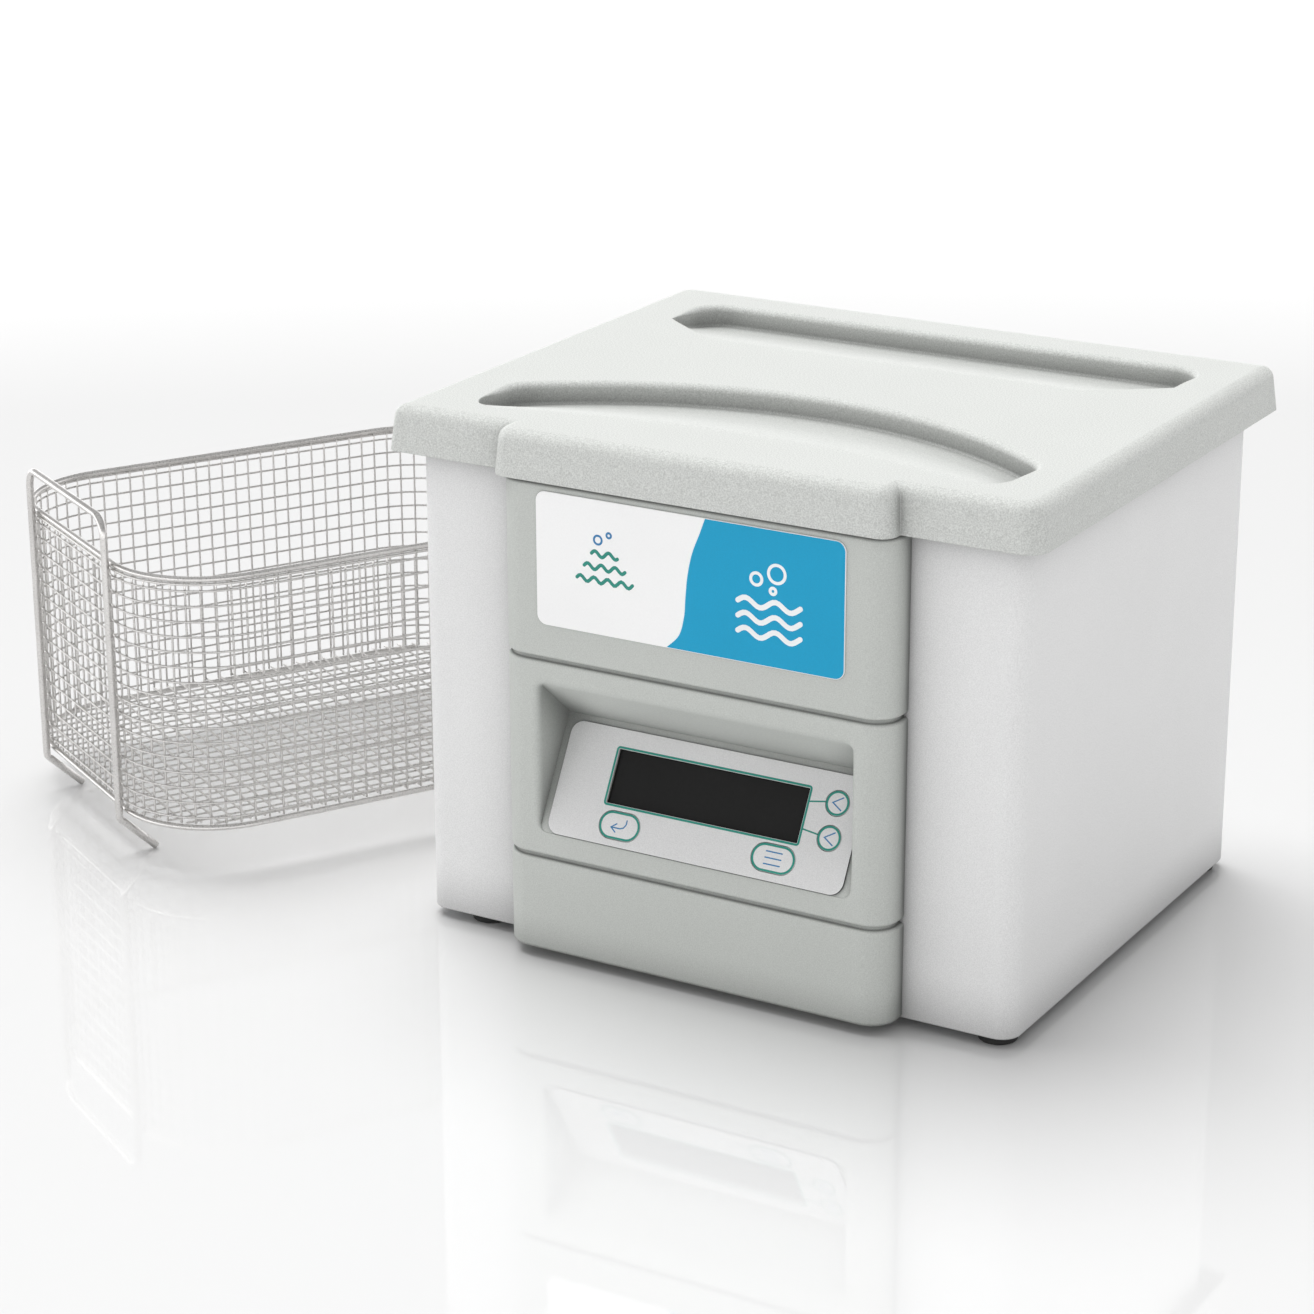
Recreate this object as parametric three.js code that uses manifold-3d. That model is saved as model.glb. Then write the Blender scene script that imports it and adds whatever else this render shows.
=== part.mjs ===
// Benchtop ultrasonic cleaner: white housing on four feet, grey fascia with a tilted control panel, drawn steel tank with
// bonded transducers, loose lid with two finger scoops, and the wire basket that goes in the tank, standing beside the machine.
// Millimetres, +Z up, +Y to the rear, floor at z = 0. The origin is the centre of the whole footprint, on the floor.
import * as THREE from "three";
import { mergeVertices } from "three/addons/utils/BufferGeometryUtils.js";
import Module from "manifold-3d";

const wasm = await Module();
wasm.setup();

// ---- where the two things stand ----
const MACHINE_AT = [144.62, 0.09]; // centre of the housing from the origin
const BASKET_AT = [-387.6, -121.4]; // basket's near handle from the centre of the housing
const BASKET_TURN = 60.2; // degrees from +X to the basket's long side

// ---- housing ----
const GAP = 0.3; // between pieces that touch
const BODY_W = 320, BODY_D = 261.1, BODY_R = 10; // outside plan and corner radius
const SHEET = 1.5; // housing and base sheet
const BODY_Z0 = 4.6, BODY_Z1 = 247.9; // bottom and top edge of the housing
const LIP_X = 150.5, LIP_Y0 = -107.5, LIP_Y1 = 124.5; // hole in the housing's top lip
const HX = BODY_W / 2, HY = BODY_D / 2;

// ---- feet ----
const FEET = { front_left: [-131, -118], front_right: [147.5, -118], rear_left: [-131, 118], rear_right: [147.5, 118] };
const FOOT_R = 9.4, FOOT_H = 4.3;

// ---- fascia ----
const FAS_W = 208.2, FAS_OUT = 18.5, FAS_R = 13.8, FAS_T = 2.5, FAS_Z1 = 241.3;
const FAS_Y = -HY - FAS_OUT; // front face
const GROOVE_Z = [53.9, 154.6], GROOVE_W = 4.9, GROOVE_D = 2.4;
const LABEL = [-81.2, 81.2, 172.5, 237.8]; // x0, x1, z0, z1
const POCKET_X = [-82.2, 84.8], POCKET_Z = [66.9, 143.4], POCKET_R = 4;
const TILT = 29; // panel leans back from the vertical
const PANEL_UP = 59.5; // panel plane, from its lower edge to the ceiling of the pocket
const S = Math.sin((TILT * Math.PI) / 180), C = Math.cos((TILT * Math.PI) / 180);

// ---- control panel, in the panel's own plane: x right, y up the slope ----
const MEMBRANE = [-78.4, 80.8, 0.2, 56.2], MEMBRANE_R = 6.5, MEMBRANE_T = 0.5;
const WINDOW = [-50.2, 52.9, 20.2, 46.6];
const KEYS = {
  key_enter: [-40, 10.4, 22, 13.4],
  key_menu: [42.8, 10.9, 22.8, 13.4],
  key_select_upper: [68.2, 42.2, 12, 12],
  key_select_lower: [68.2, 25.6, 12, 12],
};

// ---- tank ----
const TANK = [-148, 148, -105, 122], TANK_R = 26, TANK_T = 1.2; // inside plan, corner radius, sheet
const TANK_FLOOR = 74, TANK_TOP = 251.2;
const FLANGE = [-158.4, 158.4, -129, 129];

// ---- lid ----
const LID_TOP = 264.6, LID_BOTTOM = 241.7, LID_T = 3;
const LID = [-170.6, 170.6, -140.4, 141.3], LID_R = [4, 9, 4, 11]; // outline at the lower edge, corner radii from the rear right round
const BUMP = [-106.4, 103.2, -150.9], BUMP_R = 8; // the lid's front over the fascia
const LID_ROUND = 6, LID_DRAFT = 0.0119; // top edge rounding, growth per 18 mm down
// finger scoops: a wall at the back, a floor that ramps up toward the front, and ends cut square
const SCOOP_X0 = -138, SCOOP_X1 = 142, SCOOP_D = 11;
const REAR_WALL = 111.3, REAR_FRONT = 43;
const ARC_Y = -245, ARC_WALL = 217, ARC_FRONT = -106, ARC_BOW = 12 / 110 ** 2; // front scoop's wall is an arc about (0, ARC_Y)

// ---- basket, in its own frame: x along the long side, z up ----
const BK_L = 275, BK_W = 214, BK_R = 53, BK_Z0 = 27, BK_Z1 = 157, BK_T = 0.8;
const BK_X0 = 2.3; // handle wire's centre to the outside of the basket
const RIM_D = 3.2, BASE_D = 3, LEG_D = 4, LEG_Y = 53, HANDLE_Z = 183.2, HANDLE_R = 10, KNEE_Z = 20.6;

// ================= helpers =================
function positionsOnly(geometry) {
  const g = geometry.index ? geometry.toNonIndexed() : geometry.clone();
  const out = new THREE.BufferGeometry().setAttribute("position", g.getAttribute("position"));
  return mergeVertices(out, 1e-3);
}
// A closed geometry as a solid; a surface that came out inside out is turned round.
function solid(geometry, matrix) {
  const g = positionsOnly(geometry);
  if (matrix) g.applyMatrix4(matrix);
  const build = (tri) =>
    new wasm.Manifold(
      new wasm.Mesh({ numProp: 3, vertProperties: new Float32Array(g.attributes.position.array), triVerts: tri }),
    );
  const tri = new Uint32Array(g.index.array);
  let m = build(tri);
  if (m.volume() < 0) {
    for (let i = 0; i < tri.length; i += 3) [tri[i + 1], tri[i + 2]] = [tri[i + 2], tri[i + 1]];
    m = build(tri);
  }
  return m;
}
function geometryOf(m) {
  const mesh = m.getMesh();
  const n = mesh.numProp;
  const pos = new Float32Array((mesh.vertProperties.length / n) * 3);
  for (let i = 0; i < pos.length / 3; i++) for (let k = 0; k < 3; k++) pos[i * 3 + k] = mesh.vertProperties[i * n + k];
  const g = new THREE.BufferGeometry();
  g.setAttribute("position", new THREE.BufferAttribute(pos, 3));
  g.setIndex(new THREE.BufferAttribute(new Uint32Array(mesh.triVerts), 1));
  g.computeVertexNormals();
  return g;
}
const V2 = (x, y) => new THREE.Vector2(x, y);
// Rounded rectangle, counter-clockwise, n steps in each corner.
function rr(x0, x1, y0, y1, r, n = 4) {
  const p = [];
  const arc = (cx, cy, a0) => {
    for (let i = 0; i <= n; i++) {
      const a = a0 + (i / n) * (Math.PI / 2);
      p.push(V2(cx + r * Math.cos(a), cy + r * Math.sin(a)));
    }
  };
  arc(x1 - r, y1 - r, 0);
  arc(x0 + r, y1 - r, Math.PI / 2);
  arc(x0 + r, y0 + r, Math.PI);
  arc(x1 - r, y0 + r, 1.5 * Math.PI);
  return p;
}
function shapeOf(points, ...holes) {
  const s = new THREE.Shape(points);
  for (const h of holes) s.holes.push(new THREE.Path(h));
  return s;
}
function prismGeometry(points, z0, z1, ...holes) {
  return new THREE.ExtrudeGeometry(shapeOf(points, ...holes), { depth: z1 - z0, bevelEnabled: false, steps: 1 }).translate(0, 0, z0);
}
const prism = (points, z0, z1, ...holes) => solid(prismGeometry(points, z0, z1, ...holes));
// Prism with its two end edges broken by b.
const softPrism = (points, z0, z1, b, seg = 1) =>
  solid(
    new THREE.ExtrudeGeometry(shapeOf(points), {
      depth: z1 - z0 - 2 * b, bevelEnabled: true, bevelThickness: b, bevelSize: b, bevelOffset: -b, bevelSegments: seg, steps: 1,
    }).translate(0, 0, z0 + b),
  );
const box = (x0, x1, y0, y1, z0, z1) =>
  solid(new THREE.BoxGeometry(x1 - x0, y1 - y0, z1 - z0).translate((x0 + x1) / 2, (y0 + y1) / 2, (z0 + z1) / 2));
// A profile of [radius, height] turned round a vertical axis at x, y.
const turned = (profile, x, y, n = 16) =>
  solid(
    new THREE.LatheGeometry(profile.map(([r, z]) => V2(r, z)), n).rotateX(Math.PI / 2).translate(x, y, 0),
  );
// A profile in the Y-Z plane carried along X.
function profileX(points, x0, x1) {
  const g = prismGeometry(points.map(([y, z]) => V2(y, z)), x0, x1); // (y, z, x)
  g.applyMatrix4(new THREE.Matrix4().set(0, 0, 1, 0, 1, 0, 0, 0, 0, 1, 0, 0, 0, 0, 0, 1));
  return solid(g);
}
// A curve through given points whose steps fall on those points.
class PointPath extends THREE.Curve {
  constructor(points) {
    super();
    this.points = points.map((p) => new THREE.Vector3(...p));
  }
  getPoint(t) {
    const k = t * (this.points.length - 1), i = Math.min(Math.floor(k + 1e-9), this.points.length - 2);
    return this.points[i].clone().lerp(this.points[i + 1], k - i);
  }
  getPointAt(u) {
    return this.getPoint(u);
  }
  getTangentAt(u) {
    const n = this.points.length - 1, k = Math.round(u * n);
    const a = this.points[Math.max(0, k - 1)], b = this.points[k], c = this.points[Math.min(n, k + 1)];
    const d1 = b.clone().sub(a), d2 = c.clone().sub(b);
    if (d1.lengthSq() > 0) d1.normalize();
    if (d2.lengthSq() > 0) d2.normalize();
    return d1.add(d2).normalize();
  }
  getTangent(t) {
    return this.getTangentAt(t);
  }
}
function wire(points, d, sides = 8) {
  const section = [];
  const r = d / 2 / Math.cos(Math.PI / sides);
  for (let i = 0; i < sides; i++) section.push(V2(r * Math.cos(((i + 0.5) / sides) * 2 * Math.PI), r * Math.sin(((i + 0.5) / sides) * 2 * Math.PI)));
  return solid(
    new THREE.ExtrudeGeometry(new THREE.Shape(section), { steps: points.length - 1, bevelEnabled: false, extrudePath: new PointPath(points) }),
  );
}

const root = new THREE.Group();
const machine = new THREE.Group();
machine.position.set(MACHINE_AT[0], MACHINE_AT[1], 0);
root.add(machine);
const panel = new THREE.Group(); // local x right, y up the slope, z out of the panel
panel.position.set(0, FAS_Y, POCKET_Z[0]);
panel.rotation.x = ((90 - TILT) * Math.PI) / 180;
machine.add(panel);
panel.updateMatrix();
const basket = new THREE.Group();
basket.position.set(MACHINE_AT[0] + BASKET_AT[0], MACHINE_AT[1] + BASKET_AT[1], 0);
basket.rotation.z = (BASKET_TURN * Math.PI) / 180;
root.add(basket);

const M = (color, roughness, metalness = 0) => ({ color, roughness, metalness });
const WHITE = M(0xe6e6e6, 0.55), GREY = M(0xc3c8c2, 0.5), STEEL = M(0xc4c4c2, 0.3, 1), RUBBER = M(0x202020, 0.8);
const PCB = M(0x2f6b3a, 0.5), ZINC = M(0xb6b8ba, 0.4, 1), ALU = M(0xc8cacc, 0.35, 1), BLACK = M(0x1c1c1c, 0.45);
function add(group, name, m, look) {
  const mesh = new THREE.Mesh(geometryOf(m), new THREE.MeshStandardMaterial(look));
  mesh.name = name;
  group.add(mesh);
}

// ================= housing and base =================
const inletX = -108, inletZ = 44, switchX = -62, switchZ = 44;
{
  let h = prism(rr(-HX, HX, -HY, HY, BODY_R, 5), BODY_Z0, BODY_Z1);
  h = h.subtract(prism(rr(-HX + SHEET, HX - SHEET, -HY + SHEET, HY - SHEET, BODY_R - SHEET, 5), BODY_Z0 - 1, BODY_Z1 - SHEET));
  h = h.subtract(prism(rr(-LIP_X, LIP_X, LIP_Y0, LIP_Y1, 28, 4), BODY_Z1 - 5, BODY_Z1 + 1));
  h = h.subtract(box(-93, 95.6, -HY - 2, -HY + 4, 58, 151)); // behind the fascia's pocket
  h = h.subtract(box(inletX - 14.2, inletX + 14.2, HY - 4, HY + 2, inletZ - 10.7, inletZ + 10.7));
  h = h.subtract(box(switchX - 9.5, switchX + 9.5, HY - 4, HY + 2, switchZ - 13.4, switchZ + 13.4));
  for (let i = 0; i < 12; i++) h = h.subtract(box(8 + i * 9, 11 + i * 9, HY - 4, HY + 2, 28, 64)); // air slots
  add(machine, "housing_body", h, WHITE);

  let b = prism(rr(-HX + 1.8, HX - 1.8, -HY + 1.8, HY - 1.8, BODY_R - 1.8, 5), BODY_Z0, BODY_Z0 + SHEET);
  for (const [x, y] of [[-48, -92], [48, -92], [-48, 62], [48, 62]]) // pillars for the generator board
    b = b.add(turned([[0, BODY_Z0 + 1], [3, BODY_Z0 + 1], [3, 14.7], [0, 14.7]], x, y, 10));
  for (const [x, y] of Object.values(FEET)) b = b.subtract(turned([[0, 0], [2.3, 0], [2.3, 10], [0, 10]], x, y, 12));
  for (let i = 0; i < 6; i++) for (const sx of [-1, 1]) {
    const x = sx * (62 + i * 9);
    b = b.subtract(box(x - 1.5, x + 1.5, -40, 0, 0, 10));
  }
  add(machine, "base_plate", b, ZINC);
}
for (const [tag, [x, y]] of Object.entries(FEET)) {
  add(machine, "foot_" + tag,
    turned([[2.4, 2.4], [4.8, 2.4], [4.8, 0], [FOOT_R - 0.8, 0], [FOOT_R, 0.8], [FOOT_R, FOOT_H], [2.4, FOOT_H], [2.4, 2.4]], x, y, 20), RUBBER);
  add(machine, "foot_screw_" + tag,
    turned([[0, 0.7], [3.6, 0.7], [4.1, 1.4], [4.1, 2.1], [1.9, 2.1], [1.9, 9], [0, 9]], x, y, 12), ZINC);
}

// ================= fascia =================
const panelMatrix = panel.matrix;
{
  // plan outline, inset by t from the visible faces
  const plan = (t, back = -HY - GAP) => {
    const x0 = -FAS_W / 2 + t, x1 = FAS_W / 2 - t, y0 = FAS_Y + t, r = FAS_R - t, p = [V2(x1, back), V2(x0, back)];
    for (let i = 0; i <= 6; i++) { const a = Math.PI + (i / 6) * (Math.PI / 2); p.push(V2(x0 + r + r * Math.cos(a), y0 + r + r * Math.sin(a))); }
    for (let i = 0; i <= 6; i++) { const a = 1.5 * Math.PI + (i / 6) * (Math.PI / 2); p.push(V2(x1 - r + r * Math.cos(a), y0 + r + r * Math.sin(a))); }
    return p;
  };
  let f = prism(plan(GROOVE_D), BODY_Z0 + 2, FAS_Z1 - 2);
  const cuts = [BODY_Z0, GROOVE_Z[0] - GROOVE_W / 2, GROOVE_Z[0] + GROOVE_W / 2, GROOVE_Z[1] - GROOVE_W / 2, GROOVE_Z[1] + GROOVE_W / 2, FAS_Z1];
  const slab = box(-FAS_W, FAS_W, FAS_Y - 5, -HY - GAP, 0, 300);
  for (let i = 0; i < 6; i += 2) f = f.add(softPrism(plan(0, -HY + 4), cuts[i], cuts[i + 1], 1.6).intersect(slab));
  f = f.subtract(prism(plan(GROOVE_D + FAS_T, 0), BODY_Z0 + FAS_T, FAS_Z1 - FAS_T));
  // pocket: sill in front, tilted panel, sloping ceiling
  const [pz0, pz1] = POCKET_Z, up = PANEL_UP;
  const back = [FAS_Y + up * S, pz0 + up * C];
  const grow = (t) => {
    const ceil = [pz1 - back[1], back[0] - FAS_Y]; // along the ceiling
    const len = Math.hypot(...ceil), nz = ceil[1] / len, ny = ceil[0] / len; // out of the pocket, upward and rearward
    return [
      [FAS_Y - 6, pz0 - t * 0.6], [FAS_Y + t * 0.25, pz0 - t * 1.05], [back[0] + t * 1.1, back[1] - t * 0.15],
      [back[0] + t * ny * 0.9, back[1] + t * nz * 0.9], [FAS_Y + t * 0.2, pz1 + t], [FAS_Y - 6, pz1 + t],
    ];
  };
  const [px0, px1] = POCKET_X;
  const frontView = (t) => {
    const g = prismGeometry(rr(px0 - t, px1 + t, pz0 - t, pz1 + t, POCKET_R, 3), 0, 60);
    g.rotateX(Math.PI / 2).translate(0, FAS_Y + 50, 0);
    return solid(g);
  };
  const pocket = profileX(grow(0), px0, px1).intersect(frontView(0.05));
  const casing = profileX(grow(FAS_T), px0 - FAS_T, px1 + FAS_T)
    .intersect(box(-200, 200, FAS_Y + 0.8, 0, 0, 300));
  f = f.add(casing).subtract(pocket);
  const relief = new THREE.BoxGeometry(160.5, 57.5, 10.4).translate(1.25, 29.75, -7.8); // room behind the panel for the key flanges and the board
  f = f.subtract(solid(relief, panelMatrix));
  // window and keyholes, square to the panel
  f = f.subtract(solid(prismGeometry(rr(WINDOW[0] - 0.3, WINDOW[1] + 0.3, WINDOW[2] - 0.3, WINDOW[3] + 0.3, 0.4, 1), -8, 8), panelMatrix));
  for (const [x, y, w, h] of Object.values(KEYS))
    f = f.subtract(solid(prismGeometry(rr(x - w / 2 - 0.3, x + w / 2 + 0.3, y - h / 2 - 0.3, y + h / 2 + 0.3, h / 2 + 0.29, 4), -8, 8), panelMatrix));
  add(machine, "fascia", f, GREY);

  const g = prismGeometry(rr(LABEL[0], LABEL[1], LABEL[2], LABEL[3], 5, 3), 0, 0.4);
  g.rotateX(Math.PI / 2).translate(0, FAS_Y - GAP, 0);
  add(machine, "label_panel", solid(g), M(0x2e9ec5, 0.4));
}

// ================= control panel =================
{
  let m = prism(rr(...MEMBRANE, MEMBRANE_R, 4), GAP, GAP + MEMBRANE_T, rr(...WINDOW, 0.4, 1).reverse());
  for (const [x, y, w, h] of Object.values(KEYS))
    m = m.subtract(prism(rr(x - w / 2 - 0.3, x + w / 2 + 0.3, y - h / 2 - 0.3, y + h / 2 + 0.3, h / 2 + 0.29, 4), -1, 2));
  add(panel, "control_membrane", m, M(0xcfcfcf, 0.4, 0.3));
  add(panel, "display_window", prism(rr(WINDOW[0], WINDOW[1], WINDOW[2], WINDOW[3], 0.4, 1), -2.7, -1.2), M(0x1d1d1d, 0.2));
  add(panel, "display_module", box(-57, 59.7, 18.6, 52.2, -8.2, -3), M(0x2a2f2c, 0.5));
  let b = box(-76, 78.6, 1.5, 54.5, -10.1, -8.5);
  const SW = 1.9; // switch bodies stand on the board behind each key
  for (const [x, y] of Object.values(KEYS)) b = b.add(box(x - 3, x + 3, y - 3, y + 3, -8.6, -6.6)).add(box(x - SW, x + SW, y - SW, y + SW, -6.7, -5));
  add(panel, "control_board", b, PCB);
  for (const [name, [x, y, w, h]] of Object.entries(KEYS)) {
    const k = prism(rr(x - w / 2, x + w / 2, y - h / 2, y + h / 2, h / 2 - 0.01, 4), -3.5, GAP + MEMBRANE_T)
      .add(prism(rr(x - w / 2 - 0.9, x + w / 2 + 0.9, y - h / 2 - 0.9, y + h / 2 + 0.9, h / 2 + 0.89, 4), -3.8, -2.8));
    add(panel, name, k, M(0xd2d2d2, 0.4));
  }
}

// ================= tank =================
{
  const [x0, x1, y0, y1] = TANK, t = TANK_T;
  let k = prism(rr(x0 - t, x1 + t, y0 - t, y1 + t, TANK_R + t, 5), TANK_FLOOR - t, TANK_TOP)
    .add(prism(rr(...FLANGE, 8, 4), TANK_TOP - t, TANK_TOP))
    .subtract(prism(rr(x0, x1, y0, y1, TANK_R, 5), TANK_FLOOR, TANK_TOP + 5));
  add(machine, "tank", k, STEEL);
  add(machine, "tank_gasket",
    prism(rr(FLANGE[0] + 0.4, FLANGE[1] - 0.4, FLANGE[2] + 0.4, FLANGE[3] - 0.4, 8, 3), BODY_Z1 + GAP, TANK_TOP - t - GAP,
      rr(-LIP_X - 0.4, LIP_X + 0.4, LIP_Y0 - 0.4, LIP_Y1 + 0.4, 28, 4).reverse()), RUBBER);
  // transducers hang from the tank floor
  const top = TANK_FLOOR - t - GAP;
  const at = [[-98, -46], [98, -46], [-98, 63], [98, 63]], tags = ["front_left", "front_right", "rear_left", "rear_right"];
  at.forEach(([x, y], i) => {
    const n = "transducer_" + tags[i];
    add(machine, n + "_front_mass", turned([[0, top], [22.5, top], [22.5, top - 6], [17, top - 20], [4.6, top - 20], [4.6, top - 12], [0, top - 12]], x, y), ALU);
    add(machine, n + "_piezo_stack", turned([[4.8, top - 20.3], [18, top - 20.3], [18, top - 32.3], [4.8, top - 32.3], [4.8, top - 20.3]], x, y), M(0x8a7a55, 0.6));
    add(machine, n + "_back_mass", turned([[4.6, top - 32.6], [19, top - 32.6], [19, top - 48], [4.6, top - 48], [4.6, top - 32.6]], x, y), ZINC);
    add(machine, n + "_bolt", turned([[0, top - 13], [4, top - 13], [4, top - 48.3], [7, top - 48.3], [7, top - 53], [0, top - 53]], x, y, 12), BLACK);
  });
  for (const [tag, s] of [["left", -1], ["right", 1]]) {
    const a = s * (x1 + t + GAP), b = s * (x1 + t + GAP + 2);
    add(machine, "heater_pad_" + tag, box(Math.min(a, b), Math.max(a, b), -62, 78, 84, 146), M(0x9a3b2c, 0.7));
  }
  add(machine, "temperature_sensor", box(-8, 8, TANK[2] - t - GAP - 3.2, TANK[2] - t - GAP, 128, 140).add(box(-3, 3, TANK[2] - t - GAP - 5, TANK[2] - t - GAP - 3, 112, 134)), BLACK);
}

// ================= generator =================
{
  const z = 15; // top of the pillars and the gap
  add(machine, "generator_board", box(-56, 56, -99, 69, z, z + 1.6), PCB);
  const zc = z + 1.6 + GAP;
  let s = box(-50, -18, -60, 20, zc, zc + 4);
  for (let i = 0; i < 5; i++) s = s.add(box(-50 + i * 7.25, -47 + i * 7.25, -60, 20, zc + 3.9, zc + 36));
  add(machine, "heat_sink", s, ALU);
  add(machine, "power_transistors", box(-16.7, -12, -52, 12, zc, zc + 22), BLACK);
  add(machine, "output_transformer", box(0, 44, -50, -8, zc, zc + 9).add(box(6, 38, -44, -14, zc + 8.9, zc + 25)).add(box(0, 44, -50, -8, zc + 24.9, zc + 34)), M(0x5b5b5b, 0.6));
  add(machine, "bulk_capacitor", turned([[0, zc], [14, zc], [15, zc + 2], [15, zc + 38], [14, zc + 40], [0, zc + 40]], 22, 24, 20), M(0x2b3a55, 0.4));
  add(machine, "mains_filter_choke", box(-8, 44, 46, 64, zc, zc + 22), M(0xa8a15a, 0.6));
}

// ================= rear: inlet and switch =================
{
  let n = softPrism(rr(-25, 25, -11.5, 11.5, 5, 3), HY + GAP, HY + GAP + 2.6, 0.6)
    .add(prism(rr(-13.9, 13.9, -10.2, 10.2, 2, 2), HY - 24, HY + 2))
    .subtract(prism(rr(-12.2, 12.2, -8.4, 8.4, 3, 2), HY - 17, HY + 10));
  const seat = new THREE.Matrix4().set(-1, 0, 0, inletX, 0, 0, 1, 0, 0, 1, 0, inletZ, 0, 0, 0, 1); // local z becomes +Y
  for (const [x] of [[-7], [7]]) n = n.subtract(prism(rr(x - 1.3, x + 1.3, -3.1, 1.7, 0.2, 1), HY - 30, HY));
  n = n.subtract(prism(rr(-1.3, 1.3, 0.9, 5.7, 0.2, 1), HY - 30, HY));
  add(machine, "power_inlet", n.transform(seat.elements), BLACK);
  for (const [name, x, z] of [["inlet_pin_line", -7, -0.7], ["inlet_pin_neutral", 7, -0.7], ["inlet_pin_earth", 0, 3.3]])
    add(machine, name, prism(rr(x - 1, x + 1, z - 2, z + 2, 0.2, 1), HY - 30, HY - 2).transform(seat.elements), ZINC);

  const sw = new THREE.Matrix4().set(-1, 0, 0, switchX, 0, 0, 1, 0, 0, 1, 0, switchZ, 0, 0, 0, 1);
  const fr = softPrism(rr(-10.8, 10.8, -14.6, 14.6, 2, 2), HY + GAP, HY + GAP + 2.2, 0.6)
    .add(prism(rr(-9.2, 9.2, -13, 13, 1, 1), HY - 22, HY + 1))
    .subtract(prism(rr(-7.6, 7.6, -11.7, 11.7, 0.6, 1), HY - 14, HY + 10));
  add(machine, "power_switch_frame", fr.transform(sw.elements), BLACK);
  // rocker: dished face, turned 10 degrees to its off side about its pivot
  const y = HY - 1, z = switchZ;
  const pts = [[5.2, -10.6], [3.2, 0], [5.2, 10.6], [1.5, 10.9], [-7, 6.5], [-7, -6.5], [1.5, -10.9]];
  const a = (-10 * Math.PI) / 180;
  const prof = pts.map(([dy, dz]) => [y + dy * Math.cos(a) - dz * Math.sin(a), z + dy * Math.sin(a) + dz * Math.cos(a)]);
  add(machine, "power_rocker", profileX(prof, switchX - 7.2, switchX + 7.2), M(0x262626, 0.35));
}

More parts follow.
